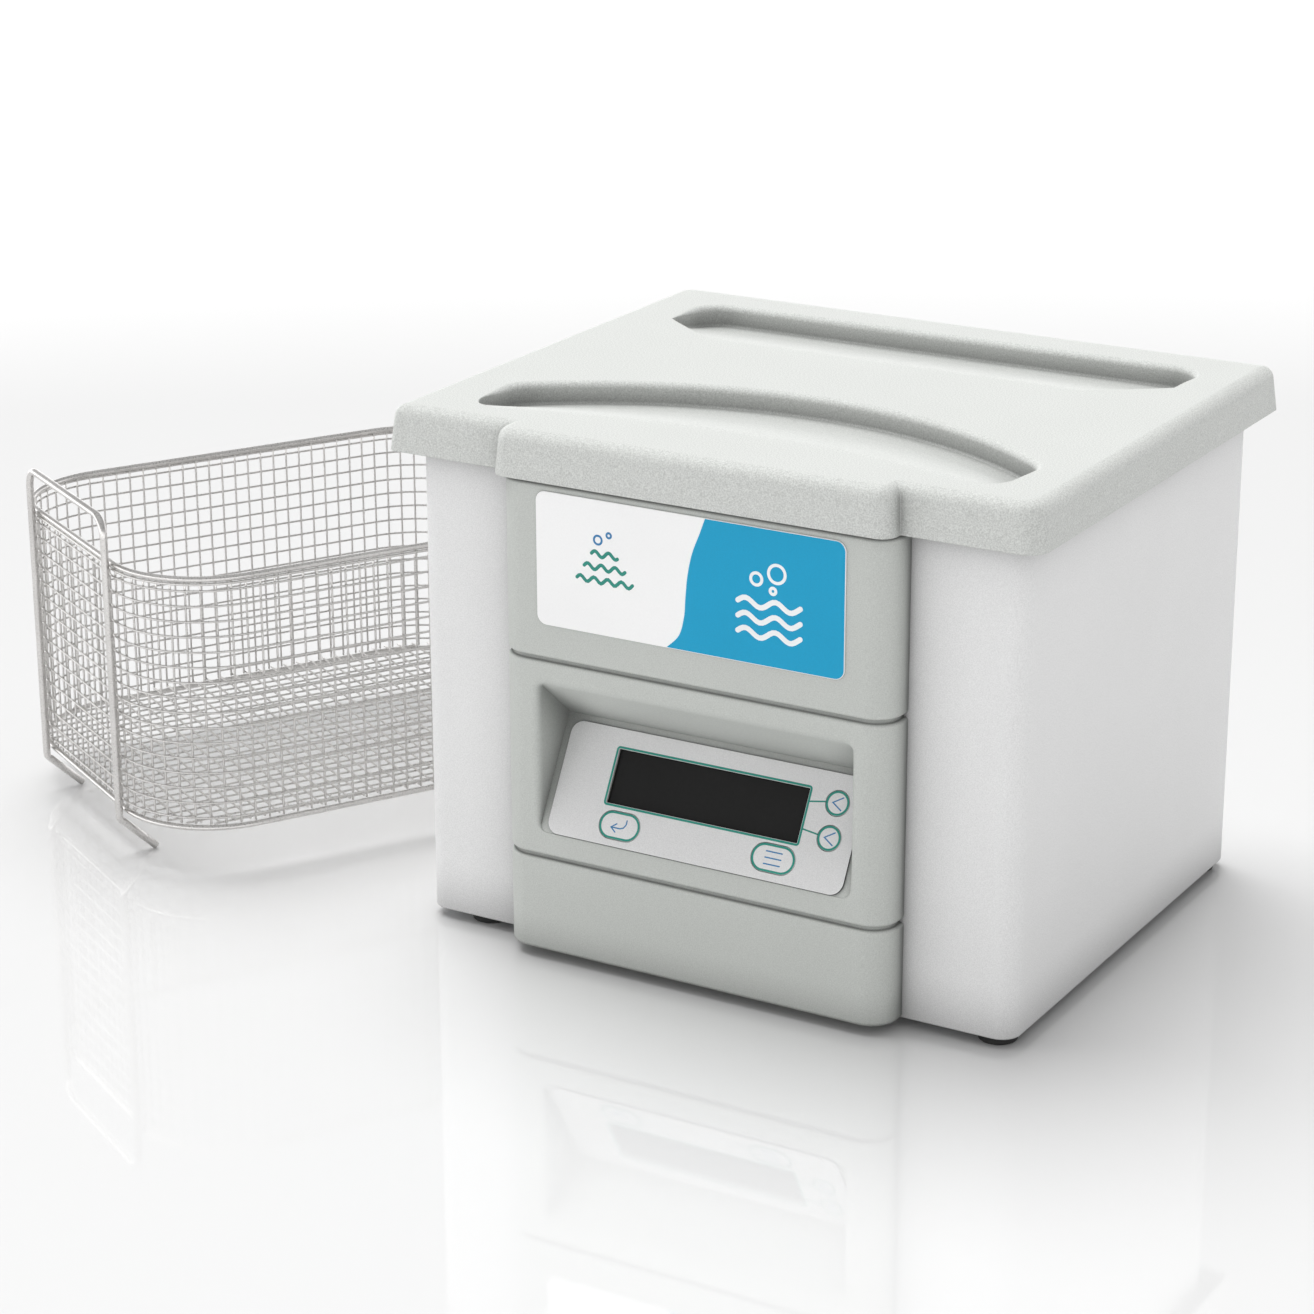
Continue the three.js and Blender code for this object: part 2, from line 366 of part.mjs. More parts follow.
// ================= lid =================
{
  const [x0, x1, y0, y1] = LID, n = 4;
  const outline = (t) => {
    const R = LID_R.map((r) => Math.max(r - t, r * 0.2)), br = Math.max(BUMP_R - t, 1), p = [];
    const arc = (cx, cy, rad, a0) => { for (let i = 0; i <= n; i++) { const a = a0 + (i / n) * (Math.PI / 2); p.push(V2(cx + rad * Math.cos(a), cy + rad * Math.sin(a))); } };
    arc(x1 - t - R[0], y1 - t - R[0], R[0], 0);
    arc(x0 + t + R[1], y1 - t - R[1], R[1], Math.PI / 2);
    arc(x0 + t + R[2], y0 + t + R[2], R[2], Math.PI);
    p.push(V2(BUMP[0] + t, y0 + t));
    arc(BUMP[0] + t + br, BUMP[2] + t + br, br, Math.PI);
    arc(BUMP[1] - t - br, BUMP[2] + t + br, br, 1.5 * Math.PI);
    p.push(V2(BUMP[1] - t, y0 + t));
    arc(x1 - t - R[3], y0 + t + R[3], R[3], 1.5 * Math.PI);
    return p;
  };
  // walls widen downward
  const draft = (g, zRef) => {
    const a = g.attributes.position;
    for (let i = 0; i < a.count; i++) {
      const k = 1 - (LID_DRAFT * Math.max(0, a.getZ(i) - zRef)) / 18;
      a.setXY(i, a.getX(i) * k, a.getY(i) * k);
    }
    return g;
  };
  // a cover inset by t, with a round top edge
  const cover = (t, z0) => {
    const rings = [[t, z0]], r = LID_ROUND - t, pos = [], idx = [];
    for (let i = 0; i <= 4; i++) { const a = (i / 4) * (Math.PI / 2); rings.push([LID_ROUND - r * Math.cos(a), LID_TOP - LID_ROUND + r * Math.sin(a)]); }
    const plans = rings.map(([u]) => outline(u)), len = plans[0].length, top = (rings.length - 1) * len;
    plans.forEach((p, k) => p.forEach((v) => pos.push(v.x, v.y, rings[k][1])));
    for (let k = 0; k + 1 < rings.length; k++) for (let i = 0; i < len; i++) { const a = k * len + i, b = k * len + ((i + 1) % len); idx.push(a, b, b + len, a, b + len, a + len); }
    for (const [a, b, c] of THREE.ShapeUtils.triangulateShape(plans[0], [])) idx.push(c, b, a);
    for (const [a, b, c] of THREE.ShapeUtils.triangulateShape(plans[plans.length - 1], [])) idx.push(top + a, top + b, top + c);
    const g = new THREE.BufferGeometry();
    g.setAttribute("position", new THREE.Float32BufferAttribute(pos, 3));
    g.setIndex(idx);
    return solid(draft(g, LID_BOTTOM));
  };
  let m = cover(0, LID_BOTTOM);
  const hollow = cover(LID_T, LID_BOTTOM - 8);
  // A scoop grown by t all round. Its floor falls from the front line to the wall's foot.
  const fall = (v) => { const k = Math.min(v / 0.8, 1); return 0.5 * k + 0.5 * k * k * (3 - 2 * k); };
  const scoop = (t, front, wall, plan) => {
    const g = new THREE.BoxGeometry(1, 1, 1, 20, 7, 1), a = g.attributes.position;
    for (let i = 0; i < a.count; i++) {
      const x = SCOOP_X0 - t + (a.getX(i) + 0.5) * (SCOOP_X1 - SCOOP_X0 + 2 * t), v = a.getY(i) + 0.5;
      const y0 = front(x) - 4 * t, y1 = wall(x);
      a.setXYZ(i, x, y0 + v * (y1 - y0), a.getZ(i) > 0 ? LID_TOP + 3 : LID_TOP + 0.001 - t * 0.84 - SCOOP_D * fall(v));
    }
    return solid(g).intersect(prism(plan, LID_TOP - 40, LID_TOP + 5));
  };
  const rear = (t) => scoop(t, () => REAR_FRONT, () => REAR_WALL + t, [
    V2(SCOOP_X0 - t, 76 - t), V2(-95 - t, REAR_FRONT - 2 - 4 * t), V2(99 + t, REAR_FRONT - 2 - 4 * t), V2(SCOOP_X1 + t, 76 - t),
    ...rr(SCOOP_X0 - t, SCOOP_X1 + t, 60, REAR_WALL + t, 15 + t, 4).slice(0, 10)]);
  const front = (t) => {
    const e0 = SCOOP_X0 - t, e1 = SCOOP_X1 + t, side = [[0, -103], [4, -112], [12, -118.5]], top = [[0, -93], [1.6, -86], [6, -79.5], [12, -73.5]];
    return scoop(t, (x) => ARC_FRONT - ARC_BOW * x * x, (x) => ARC_Y + Math.sqrt((ARC_WALL + t) ** 2 - x * x), [
      ...side.map(([x, y]) => V2(e0 + x, y - t * (x > 5 ? 4 : 1))), ...[...side].reverse().map(([x, y]) => V2(e1 - x, y - t * (x > 5 ? 4 : 1))),
      ...top.map(([x, y]) => V2(e1 - x, y + t)), V2(60, 0), V2(-60, 0), ...[...top].reverse().map(([x, y]) => V2(e0 + x, y + t))]);
  };
  m = m.subtract(hollow.subtract(rear(2.5)).subtract(front(2.5)));
  // ribs: one drops into the tank's mouth, one rests on its flange
  const inTop = LID_TOP - LID_T + 0.5;
  m = m.add(prism(rr(-145.6, 145.6, -102.6, 119.6, 23, 4), 245, inTop, rr(-143.6, 143.6, -100.6, 117.6, 21, 4).reverse()));
  m = m.add(prism(rr(-154, 154, -124, 126, 10, 2), TANK_TOP + GAP, inTop, rr(-152, 152, -122, 124, 8, 2).reverse()));
  m = m.subtract(rear(0)).subtract(front(0));
  add(machine, "lid", m, M(0xe3e6e2, 0.55));
}

// ================= basket =================
{
  const h = BK_W / 2;
  const plan = (t, n = 7) => rr(BK_X0 + t, BK_X0 + BK_L - t, -h + t, h - t, BK_R - t, n);
  add(basket, "basket_mesh", prism(plan(0.1), BK_Z0, BK_Z1).subtract(prism(plan(0.1 + BK_T), BK_Z0 + BK_T, BK_Z1 + 2)), STEEL);
  // a wire bent to the basket's outline: flat ring with its edges broken, eight-sided in section
  const ring = (d, z) => {
    const b = d * 0.2929, s = shapeOf(plan(b), plan(d - b).reverse());
    return solid(new THREE.ExtrudeGeometry(s, { depth: d - 2 * b, bevelEnabled: true, bevelThickness: b, bevelSize: b, bevelOffset: 0, bevelSegments: 1, steps: 1 }).translate(0, 0, z - d / 2 + b));
  };
  add(basket, "basket_rim_wire", ring(RIM_D, BK_Z1 + GAP + RIM_D / 2), STEEL);
  add(basket, "basket_base_wire", ring(BASE_D, BK_Z0 - GAP - BASE_D / 2), STEEL);
  for (const [name, flip] of [["basket_handle_near", 0], ["basket_handle_far", 1]]) {
    const p = [], X = (x) => (flip ? 2 * BK_X0 + BK_L - x : x);
    const half = [[19.6, 1.45], [10, 10.9], [1.2, 19.4], [0.25, 20.9], [0, 22.6], [0, 90], [0, HANDLE_Z - HANDLE_R]];
    for (const [x, z] of half) p.push([X(x), -LEG_Y, z]);
    for (let i = 1; i <= 4; i++) { const a = (i / 4) * (Math.PI / 2); p.push([X(0), -LEG_Y + HANDLE_R * (1 - Math.cos(a)), HANDLE_Z - HANDLE_R + HANDLE_R * Math.sin(a)]); }
    for (let i = 0; i <= 4; i++) { const a = (i / 4) * (Math.PI / 2); p.push([X(0), LEG_Y - HANDLE_R * (1 - Math.sin(a)), HANDLE_Z - HANDLE_R + HANDLE_R * Math.cos(a)]); }
    for (const [x, z] of [...half].reverse().slice(1)) p.push([X(x), LEG_Y, z]);
    add(basket, name, wire(p, LEG_D), STEEL);
  }
}

export default root;
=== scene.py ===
import math
import bpy, bmesh
from mathutils import Matrix, Vector
from mathutils.geometry import delaunay_2d_cdt


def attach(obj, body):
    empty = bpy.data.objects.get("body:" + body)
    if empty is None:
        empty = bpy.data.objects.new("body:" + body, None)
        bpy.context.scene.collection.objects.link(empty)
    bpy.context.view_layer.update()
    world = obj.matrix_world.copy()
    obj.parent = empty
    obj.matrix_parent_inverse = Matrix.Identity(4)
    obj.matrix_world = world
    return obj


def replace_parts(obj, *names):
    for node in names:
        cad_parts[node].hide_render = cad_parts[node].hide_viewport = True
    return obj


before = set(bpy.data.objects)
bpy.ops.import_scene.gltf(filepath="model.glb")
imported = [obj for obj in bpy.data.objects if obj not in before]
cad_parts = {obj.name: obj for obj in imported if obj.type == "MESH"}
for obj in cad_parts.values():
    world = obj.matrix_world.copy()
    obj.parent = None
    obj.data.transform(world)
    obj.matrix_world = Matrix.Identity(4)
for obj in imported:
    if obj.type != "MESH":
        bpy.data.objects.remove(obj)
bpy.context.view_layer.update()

scene = bpy.context.scene
MX, MY = 0.14462, 0.00009                      # centre of the machine
BX, BY, BTURN = 0.14462 - 0.3876, 0.00009 - 0.1214, math.radians(60.2)
PI = math.pi

# ============================================================ materials
def srgb(r, g, b):
    f = lambda v: (v / 255 / 12.92) if v / 255 <= 0.04045 else ((v / 255 + 0.055) / 1.055) ** 2.4
    return (f(r), f(g), f(b), 1.0)

def material(name, color, rough=0.5, metal=0.0, grain=0.0, grain_mm=0.6, vary=0.04, vary_mm=40, rough_vary=0.05, speck=None,
             speck_mm=0.8, speck_at=0.62, spec=0.5, brushed=None, coat=0.0, bump_mm=0.03, ao=None):
    m = bpy.data.materials.new(name)
    m.use_nodes = True
    nt = m.node_tree; N = nt.nodes; L = nt.links
    N.clear()
    out = N.new("ShaderNodeOutputMaterial"); bs = N.new("ShaderNodeBsdfPrincipled")
    L.new(bs.outputs[0], out.inputs[0])
    bs.inputs["Metallic"].default_value = metal
    bs.inputs["Specular IOR Level"].default_value = spec
    bs.inputs["Coat Weight"].default_value = coat
    tc = N.new("ShaderNodeTexCoord")
    src = tc.outputs["Object"]
    if brushed:
        mp = N.new("ShaderNodeMapping"); mp.inputs["Scale"].default_value = brushed; L.new(src, mp.inputs[0]); grain_src = mp.outputs[0]
    else:
        grain_src = src
    def noise(s, mm, detail=2.0):
        n = N.new("ShaderNodeTexNoise"); n.inputs["Scale"].default_value = 1000.0 / mm; n.inputs["Detail"].default_value = detail
        L.new(s, n.inputs["Vector"]); return n.outputs["Fac"]
    broad = noise(src, vary_mm)
    fine = noise(grain_src, grain_mm, 3.0)
    # colour: broad drift times fine grain
    c = Vector(color[:3])
    ramp = N.new("ShaderNodeValToRGB"); L.new(broad, ramp.inputs[0])
    ramp.color_ramp.elements[0].position = 0.3; ramp.color_ramp.elements[1].position = 0.7
    lo = c * (1 - vary); hi = c * (1 + vary)
    ramp.color_ramp.elements[0].color = (*[min(1, v) for v in lo], 1); ramp.color_ramp.elements[1].color = (*[min(1, v) for v in hi], 1)
    colour = ramp.outputs[0]
    if grain > 0:
        mr = N.new("ShaderNodeMapRange"); L.new(fine, mr.inputs["Value"])
        mr.inputs["From Min"].default_value = 0.3; mr.inputs["From Max"].default_value = 0.7
        mr.inputs["To Min"].default_value = 1 - grain; mr.inputs["To Max"].default_value = 1 + grain
        mx = N.new("ShaderNodeMix"); mx.data_type = "RGBA"; mx.blend_type = "MULTIPLY"; mx.inputs["Factor"].default_value = 1.0
        L.new(colour, mx.inputs["A"]); L.new(mr.outputs["Result"], mx.inputs["B"]); colour = mx.outputs["Result"]
    if speck:
        sp = noise(src, speck_mm, 1.0)
        r2 = N.new("ShaderNodeMapRange"); L.new(sp, r2.inputs["Value"])
        r2.inputs["From Min"].default_value = speck_at; r2.inputs["From Max"].default_value = speck_at + 0.06
        m2 = N.new("ShaderNodeMix"); m2.data_type = "RGBA"; L.new(r2.outputs["Result"], m2.inputs["Factor"])
        L.new(colour, m2.inputs["A"]); m2.inputs["B"].default_value = speck; colour = m2.outputs["Result"]
    if ao:                                                        # painted shade: the colour is darkened by ambient occlusion in tight hollows and close to other parts
        an_ = N.new("ShaderNodeAmbientOcclusion"); an_.samples = 6; an_.inputs["Distance"].default_value = ao[0] * 0.001
        m4 = N.new("ShaderNodeMapRange"); L.new(an_.outputs["AO"], m4.inputs["Value"])
        m4.inputs["From Min"].default_value = 0.35; m4.inputs["From Max"].default_value = 0.95
        m4.inputs["To Min"].default_value = 1 - ao[1]; m4.inputs["To Max"].default_value = 1
        m5 = N.new("ShaderNodeMix"); m5.data_type = "RGBA"; m5.blend_type = "MULTIPLY"; m5.inputs["Factor"].default_value = 1.0
        L.new(colour, m5.inputs["A"]); L.new(m4.outputs["Result"], m5.inputs["B"]); colour = m5.outputs["Result"]
    L.new(colour, bs.inputs["Base Color"])
    rr_ = N.new("ShaderNodeMapRange"); L.new(fine, rr_.inputs["Value"])
    rr_.inputs["From Min"].default_value = 0.3; rr_.inputs["From Max"].default_value = 0.7
    rr_.inputs["To Min"].default_value = max(0.02, rough - rough_vary); rr_.inputs["To Max"].default_value = min(1, rough + rough_vary)
    L.new(rr_.outputs["Result"], bs.inputs["Roughness"])
    if bump_mm > 0:
        bp = N.new("ShaderNodeBump"); bp.inputs["Strength"].default_value = 1.0; bp.inputs["Distance"].default_value = bump_mm * 0.001
        L.new(fine, bp.inputs["Height"]); L.new(bp.outputs[0], bs.inputs["Normal"])
    return m

MAT = dict(
    # lid, fascia and body carry painted shade: ao darkens their colour in hollows and beside neighbouring parts
    lid=material("lid_plastic", srgb(203, 205, 202), 0.5, grain=0.2, grain_mm=0.7, vary=0.008, bump_mm=0.035, ao=(20, 0.62)),
    fascia=material("fascia_plastic", srgb(195, 198, 194), 0.5, grain=0.10, grain_mm=0.55, vary=0.008, bump_mm=0.03, ao=(24, 0.6)),
    body=material("body_paint", srgb(233, 233, 233), 0.5, grain=0.09, grain_mm=0.55, vary=0.008, bump_mm=0.03, ao=(32, 0.55)),
    white=material("label_white", srgb(250, 250, 250), 0.4, grain=0.015, grain_mm=0.7, vary=0.01, bump_mm=0.004),
    blue=material("label_blue", srgb(26, 160, 204), 0.45, spec=0.25, grain=0.03, grain_mm=0.7, vary=0.015, bump_mm=0.004),
    teal=material("ink_teal", srgb(30, 140, 124), 0.45, grain=0.05, grain_mm=0.5, bump_mm=0.004),
    inkblue=material("ink_blue", srgb(40, 122, 176), 0.45, grain=0.05, grain_mm=0.5, bump_mm=0.004),
    membrane=material("panel_film", srgb(224, 224, 224), 0.38, metal=0.25, grain=0.09, grain_mm=0.45, vary=0.02, bump_mm=0.012),
    key=material("key_film", srgb(227, 227, 227), 0.4, metal=0.2, grain=0.08, grain_mm=0.45, vary=0.02, bump_mm=0.012),
    window=material("window_tint", srgb(34, 34, 34), 0.45, grain=0.05, grain_mm=2, vary=0.06, bump_mm=0.0, rough_vary=0.02, spec=0.12),
    display=material("display_case", srgb(30, 34, 32), 0.4, grain=0.1, grain_mm=1.5),
    pcb=material("board_green", srgb(36, 92, 52), 0.4, grain=0.12, grain_mm=1.2, vary=0.1, vary_mm=12, speck=srgb(170, 150, 80), speck_mm=3.2, speck_at=0.66),
    tank=material("tank_steel", srgb(222, 223, 224), 0.42, metal=0.8, grain=0.03, grain_mm=1.2, vary=0.03, brushed=(0.06, 1, 1), bump_mm=0.003),
    wire=material("wire_steel", srgb(212, 210, 208), 0.3, metal=1.0, grain=0.05, grain_mm=0.8, vary=0.05, vary_mm=18, bump_mm=0.01),
    zinc=material("zinc_plate", srgb(186, 188, 190), 0.42, metal=1.0, grain=0.08, grain_mm=3, vary=0.1, vary_mm=14, bump_mm=0.01),
    alu=material("aluminium", srgb(204, 206, 208), 0.34, metal=1.0, grain=0.05, grain_mm=0.8, vary=0.04, brushed=(1, 1, 0.08), bump_mm=0.012),
    ceramic=material("piezo_ceramic", srgb(150, 132, 96), 0.6, grain=0.1, grain_mm=0.7, vary=0.08, vary_mm=8),
    rubber=material("rubber", srgb(34, 34, 34), 0.75, grain=0.15, grain_mm=0.7, vary=0.08, bump_mm=0.04),
    gasket=material("gasket_rubber", srgb(66, 66, 68), 0.8, grain=0.12, grain_mm=0.8, bump_mm=0.04),
    heater=material("heater_mat", srgb(156, 62, 44), 0.62, grain=0.12, grain_mm=1.4, vary=0.06, vary_mm=9, bump_mm=0.06),
    black=material("black_plastic", srgb(36, 36, 37), 0.42, grain=0.12, grain_mm=0.7, bump_mm=0.03),
    rocker=material("rocker_plastic", srgb(30, 30, 31), 0.3, grain=0.08, grain_mm=0.7, bump_mm=0.015),
    core=material("ferrite_core", srgb(84, 84, 86), 0.62, grain=0.14, grain_mm=0.9, vary=0.07, vary_mm=9, bump_mm=0.05),
    capac=material("capacitor_sleeve", srgb(38, 50, 82), 0.36, grain=0.06, grain_mm=1.0, vary=0.05, bump_mm=0.01),
    copper=material("choke_winding", srgb(172, 116, 62), 0.34, metal=0.6, grain=0.16, grain_mm=0.9, vary=0.08, vary_mm=6, brushed=(1, 6, 1), bump_mm=0.05),
    pin=material("nickel_pin", srgb(200, 198, 190), 0.25, metal=1.0, grain=0.04, grain_mm=0.6, bump_mm=0.006),
    ink_white=material("ink_white", srgb(244, 246, 247), 0.4, grain=0.01, grain_mm=0.6, bump_mm=0.003),
    ink_dark=material("ink_dark", srgb(58, 62, 62), 0.5, grain=0.05, grain_mm=0.5, bump_mm=0.003),
)

# ============================================================ mesh helpers (millimetres in, metres out)
def machine(x, y, z): return (MX + x * 0.001, MY + y * 0.001, z * 0.001)
CB, SB = math.cos(BTURN), math.sin(BTURN)
def basket(x, y, z): return (BX + (x * CB - y * SB) * 0.001, BY + (x * SB + y * CB) * 0.001, z * 0.001)
FAS_Y, PZ0 = -149.05, 66.9
TS, TC = math.sin(math.radians(29)), math.cos(math.radians(29))
def panel(x, y, z): return machine(x, FAS_Y + y * TS - z * TC, PZ0 + y * TC + z * TS)
def facing(x, y, z): return machine(x, FAS_Y - z, y)          # on the fascia's front face, y is the height

def make(name, verts, faces, mat, body, slot, at=machine, sharp=38, merge=0.004, solid=0.0, shell=False, weighted=True, mats=None, face_mat=None):
    me = bpy.data.meshes.new(name)
    me.from_pydata([at(*v) for v in verts], [], faces)
    bm = bmesh.new(); bm.from_mesh(me)
    if face_mat is not None:
        bm.faces.ensure_lookup_table()
        for f, k in zip(bm.faces, face_mat): f.material_index = k
    bmesh.ops.remove_doubles(bm, verts=bm.verts, dist=merge * 0.001)
    bmesh.ops.dissolve_degenerate(bm, dist=1e-6, edges=bm.edges)
    loose = [v for v in bm.verts if not v.link_faces]
    bmesh.ops.delete(bm, geom=loose, context="VERTS")
    bmesh.ops.recalc_face_normals(bm, faces=bm.faces)
    if shell:                                                     # an open sheet: outside is away from its middle
        c = sum((v.co for v in bm.verts), Vector()) / len(bm.verts)
        if sum((f.calc_center_median() - c).dot(f.normal) * f.calc_area() for f in bm.faces) < 0:
            bmesh.ops.reverse_faces(bm, faces=bm.faces)
    bm.to_mesh(me); bm.free()
    for p in me.polygons: p.use_smooth = True
    me.set_sharp_from_angle(angle=math.radians(sharp))
    o = bpy.data.objects.new(name, me)
    scene.collection.objects.link(o)
    for k in (mats or [mat]): me.materials.append(MAT[k])
    if solid:
        s = o.modifiers.new("thickness", "SOLIDIFY"); s.thickness = solid * 0.001; s.offset = -1; s.use_even_offset = True
    if weighted:
        w = o.modifiers.new("normals", "WEIGHTED_NORMAL"); w.keep_sharp = True
    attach(o, body)
    return o

class Mesh:
    def __init__(s): s.v = []; s.f = []; s.m = []; s.k = 0
    def add(s, verts, faces):
        b = len(s.v); s.v += [tuple(p) for p in verts]; s.f += [tuple(i + b for i in f) for f in faces]; s.m += [s.k] * len(faces); return s
    def loft(s, rings, closed=True):
        n = len(rings[0]); v = [p for r in rings for p in r]; f = []
        for a in range(len(rings) - 1):
            for i in range(n if closed else n - 1):
                j = (i + 1) % n
                f.append((a * n + i, a * n + j, (a + 1) * n + j, (a + 1) * n + i))
        return s.add(v, f)
    def fill(s, outer, holes=(), lift=None, pts=()):
        p, t = fill2d(outer, holes, pts)
        lift = lift or (lambda x, y: (x, y, 0))
        return s.add([lift(x, y) for x, y in p], t)
    def plate(s, outer, z0, z1, holes=(), b=0.2, b0=None, steps=2):
        b0 = b if b0 is None else b0
        def edge(poly, sign):
            rings = []
            for i in range(steps + 1):
                a = i / steps * PI / 2
                rings.append([(x, y, z0 + b0 * (1 - math.sin(a))) for x, y in offset(poly, -sign * b0 * (1 - math.cos(a)))][:])
            low = list(reversed(rings))
            up = []
            for i in range(steps + 1):
                a = i / steps * PI / 2
                up.append([(x, y, z1 - b * (1 - math.sin(a))) for x, y in offset(poly, -sign * b * (1 - math.cos(a)))])
            low = [[(x, y, z0 + b0 * (1 - math.cos(PI / 2 * i / steps))) for x, y in offset(poly, -sign * b0 * (1 - math.sin(PI / 2 * i / steps)))] for i in range(steps + 1)]
            s.loft(low + up)
        edge(outer, 1)
        for h in holes: edge(h, -1)
        for z, d in ((z0, b0), (z1, b)):
            s.fill(offset(outer, -d), [offset(h, d) for h in holes], lambda x, y, z=z: (x, y, z))
        return s
    def turned(s, prof, x=0, y=0, n=32):
        rings = [[(x + r * math.cos(2 * PI * i / n), y + r * math.sin(2 * PI * i / n), z) for i in range(n)] for r, z in prof if r > 1e-6]
        s.loft(rings)
        for (r, z), ring in ((prof[0], rings[0]), (prof[-1], rings[-1])):
            if r <= 1e-6: s.add(ring + [(x, y, z)], [(i, (i + 1) % n, n) for i in range(n)])
            elif prof[0] != prof[-1]: s.add(ring, [tuple(range(n))])
        return s
    def tube(s, pts, r, sides=8, closed=False):
        n = len(pts); P = [Vector(p) for p in pts]
        T = []
        for i in range(n):
            a = P[(i - 1) % n] if (closed or i) else P[0]
            b = P[(i + 1) % n] if (closed or i < n - 1) else P[-1]
            T.append((b - a).normalized())
        u = T[0].orthogonal().normalized(); rings = []
        for i in range(n):
            u = (u - T[i] * u.dot(T[i])).normalized(); w = T[i].cross(u)
            rings.append([tuple(P[i] + (u * math.cos(2 * PI * k / sides) + w * math.sin(2 * PI * k / sides)) * r) for k in range(sides)])
        if closed:
            # close with the rotation that the frame picked up
            best = min(range(sides), key=lambda k: (Vector(rings[-1][k]) - Vector(rings[0][0])).length)
            s.loft(rings)
            base = len(s.v) - len(rings) * sides; last = base + (n - 1) * sides
            s.add([], [])
            s.f += [(last + (best + k) % sides, last + (best + k + 1) % sides, base + (k + 1) % sides, base + k) for k in range(sides)]
            s.m += [s.k] * sides
        else:
            c = 0.25 * r                                            # ends broken by a quarter of the radius
            def shrink(ring, i, d): return [tuple(P[i] + (Vector(q) - P[i]) * (1 - c / r) + T[i] * d) for q in ring]
            def pull(ring, i, d): return [tuple(Vector(q) + T[i] * d) for q in ring]
            rings = [shrink(rings[0], 0, 0), pull(rings[0], 0, c)] + rings[1:-1] + [pull(rings[-1], -1, -c), shrink(rings[-1], -1, 0)]
            s.loft(rings)
            m = len(s.v) - len(rings) * sides
            s.f += [tuple(range(m, m + sides)), tuple(range(len(s.v) - sides, len(s.v)))]
            s.m += [s.k] * 2
        return s
    def make(s, name, mat, body, slot, **k):
        if any(s.m): k.setdefault("face_mat", s.m)
        return make(name, s.v, s.f, mat, body, slot, **k)

def rr(x0, x1, y0, y1, r, n=10):
    p = []
    for cx, cy, a0 in ((x1 - r, y1 - r, 0), (x0 + r, y1 - r, PI / 2), (x0 + r, y0 + r, PI), (x1 - r, y0 + r, 1.5 * PI)):
        for i in range(n + 1):
            a = a0 + i / n * PI / 2
            p.append((cx + r * math.cos(a), cy + r * math.sin(a)))
    return p
def clean(poly, eps=1e-5):
    out = []
    for p in poly:
        if not out or math.dist(p, out[-1]) > eps: out.append(p)
    if math.dist(out[0], out[-1]) <= eps: out.pop()
    return out
def normals2(poly):
    n = len(poly); out = []
    for i in range(n):
        a, b, c = poly[i - 1], poly[i], poly[(i + 1) % n]
        u = (b[0] - a[0], b[1] - a[1]); v = (c[0] - b[0], c[1] - b[1])
        lu, lv = math.hypot(*u) or 1, math.hypot(*v) or 1
        nu, nv = (u[1] / lu, -u[0] / lu), (v[1] / lv, -v[0] / lv)
        m = (nu[0] + nv[0], nu[1] + nv[1]); d = m[0] * nu[0] + m[1] * nu[1]
        k = 1 / max(d, 0.4)
        out.append((m[0] * k, m[1] * k))
    return out
def area2(p): return sum(p[i - 1][0] * p[i][1] - p[i][0] * p[i - 1][1] for i in range(len(p))) / 2
def offset(poly, d):
    if abs(d) < 1e-9: return list(poly)
    s = 1 if area2(poly) > 0 else -1
    return [(x + nx * d * s, y + ny * d * s) for (x, y), (nx, ny) in zip(poly, normals2(poly))]
def inside(x, y, poly):
    c = False; j = len(poly) - 1
    for i in range(len(poly)):
        xi, yi = poly[i]; xj, yj = poly[j]
        if (yi > y) != (yj > y) and x < (xj - xi) * (y - yi) / (yj - yi) + xi: c = not c
        j = i
    return c
def fill2d(outer, holes=(), pts=()):
    V, E = [], []
    for loop in (outer, *holes):
        b = len(V); V += [Vector(p) for p in loop]; n = len(loop)
        E += [(b + i, b + (i + 1) % n) for i in range(n)]
    V += [Vector(p) for p in pts]
    v, e, f, *_ = delaunay_2d_cdt(V, E, [], 0, 1e-6)
    keep = []
    for t in f:
        x = sum(v[i][0] for i in t) / len(t); y = sum(v[i][1] for i in t) / len(t)
        if inside(x, y, outer) and not any(inside(x, y, h) for h in holes): keep.append(tuple(t))
    return [(p[0], p[1]) for p in v], keep
def fillet(points, radii, n=8):
    out = [tuple(points[0])]
    for i in range(1, len(points) - 1):
        a, b, c = Vector(points[i - 1]), Vector(points[i]), Vector(points[i + 1])
        u, v = (a - b).normalized(), (c - b).normalized(); r = radii[i]
        ang = math.acos(max(-1, min(1, u.dot(v)))); t = r / math.tan(ang / 2)
        ctr = b + (u + v).normalized() * (r / math.sin(ang / 2)); p, q = b + u * t - ctr, b + v * t - ctr
        tot = math.acos(max(-1, min(1, p.normalized().dot(q.normalized()))))
        for k in range(n + 1):
            w = k / n
            d = (p * math.sin((1 - w) * tot) + q * math.sin(w * tot)) / math.sin(tot)
            out.append(tuple(ctr + d))
    out.append(tuple(points[-1]))
    return out
def dense(points, step):
    out = []
    for a, b in zip(points, points[1:]):
        m = max(1, math.ceil(math.dist(a, b) / step))
        out += [tuple(a[k] + (b[k] - a[k]) * i / m for k in range(len(a))) for i in range(m)]
    return out + [tuple(points[-1])]
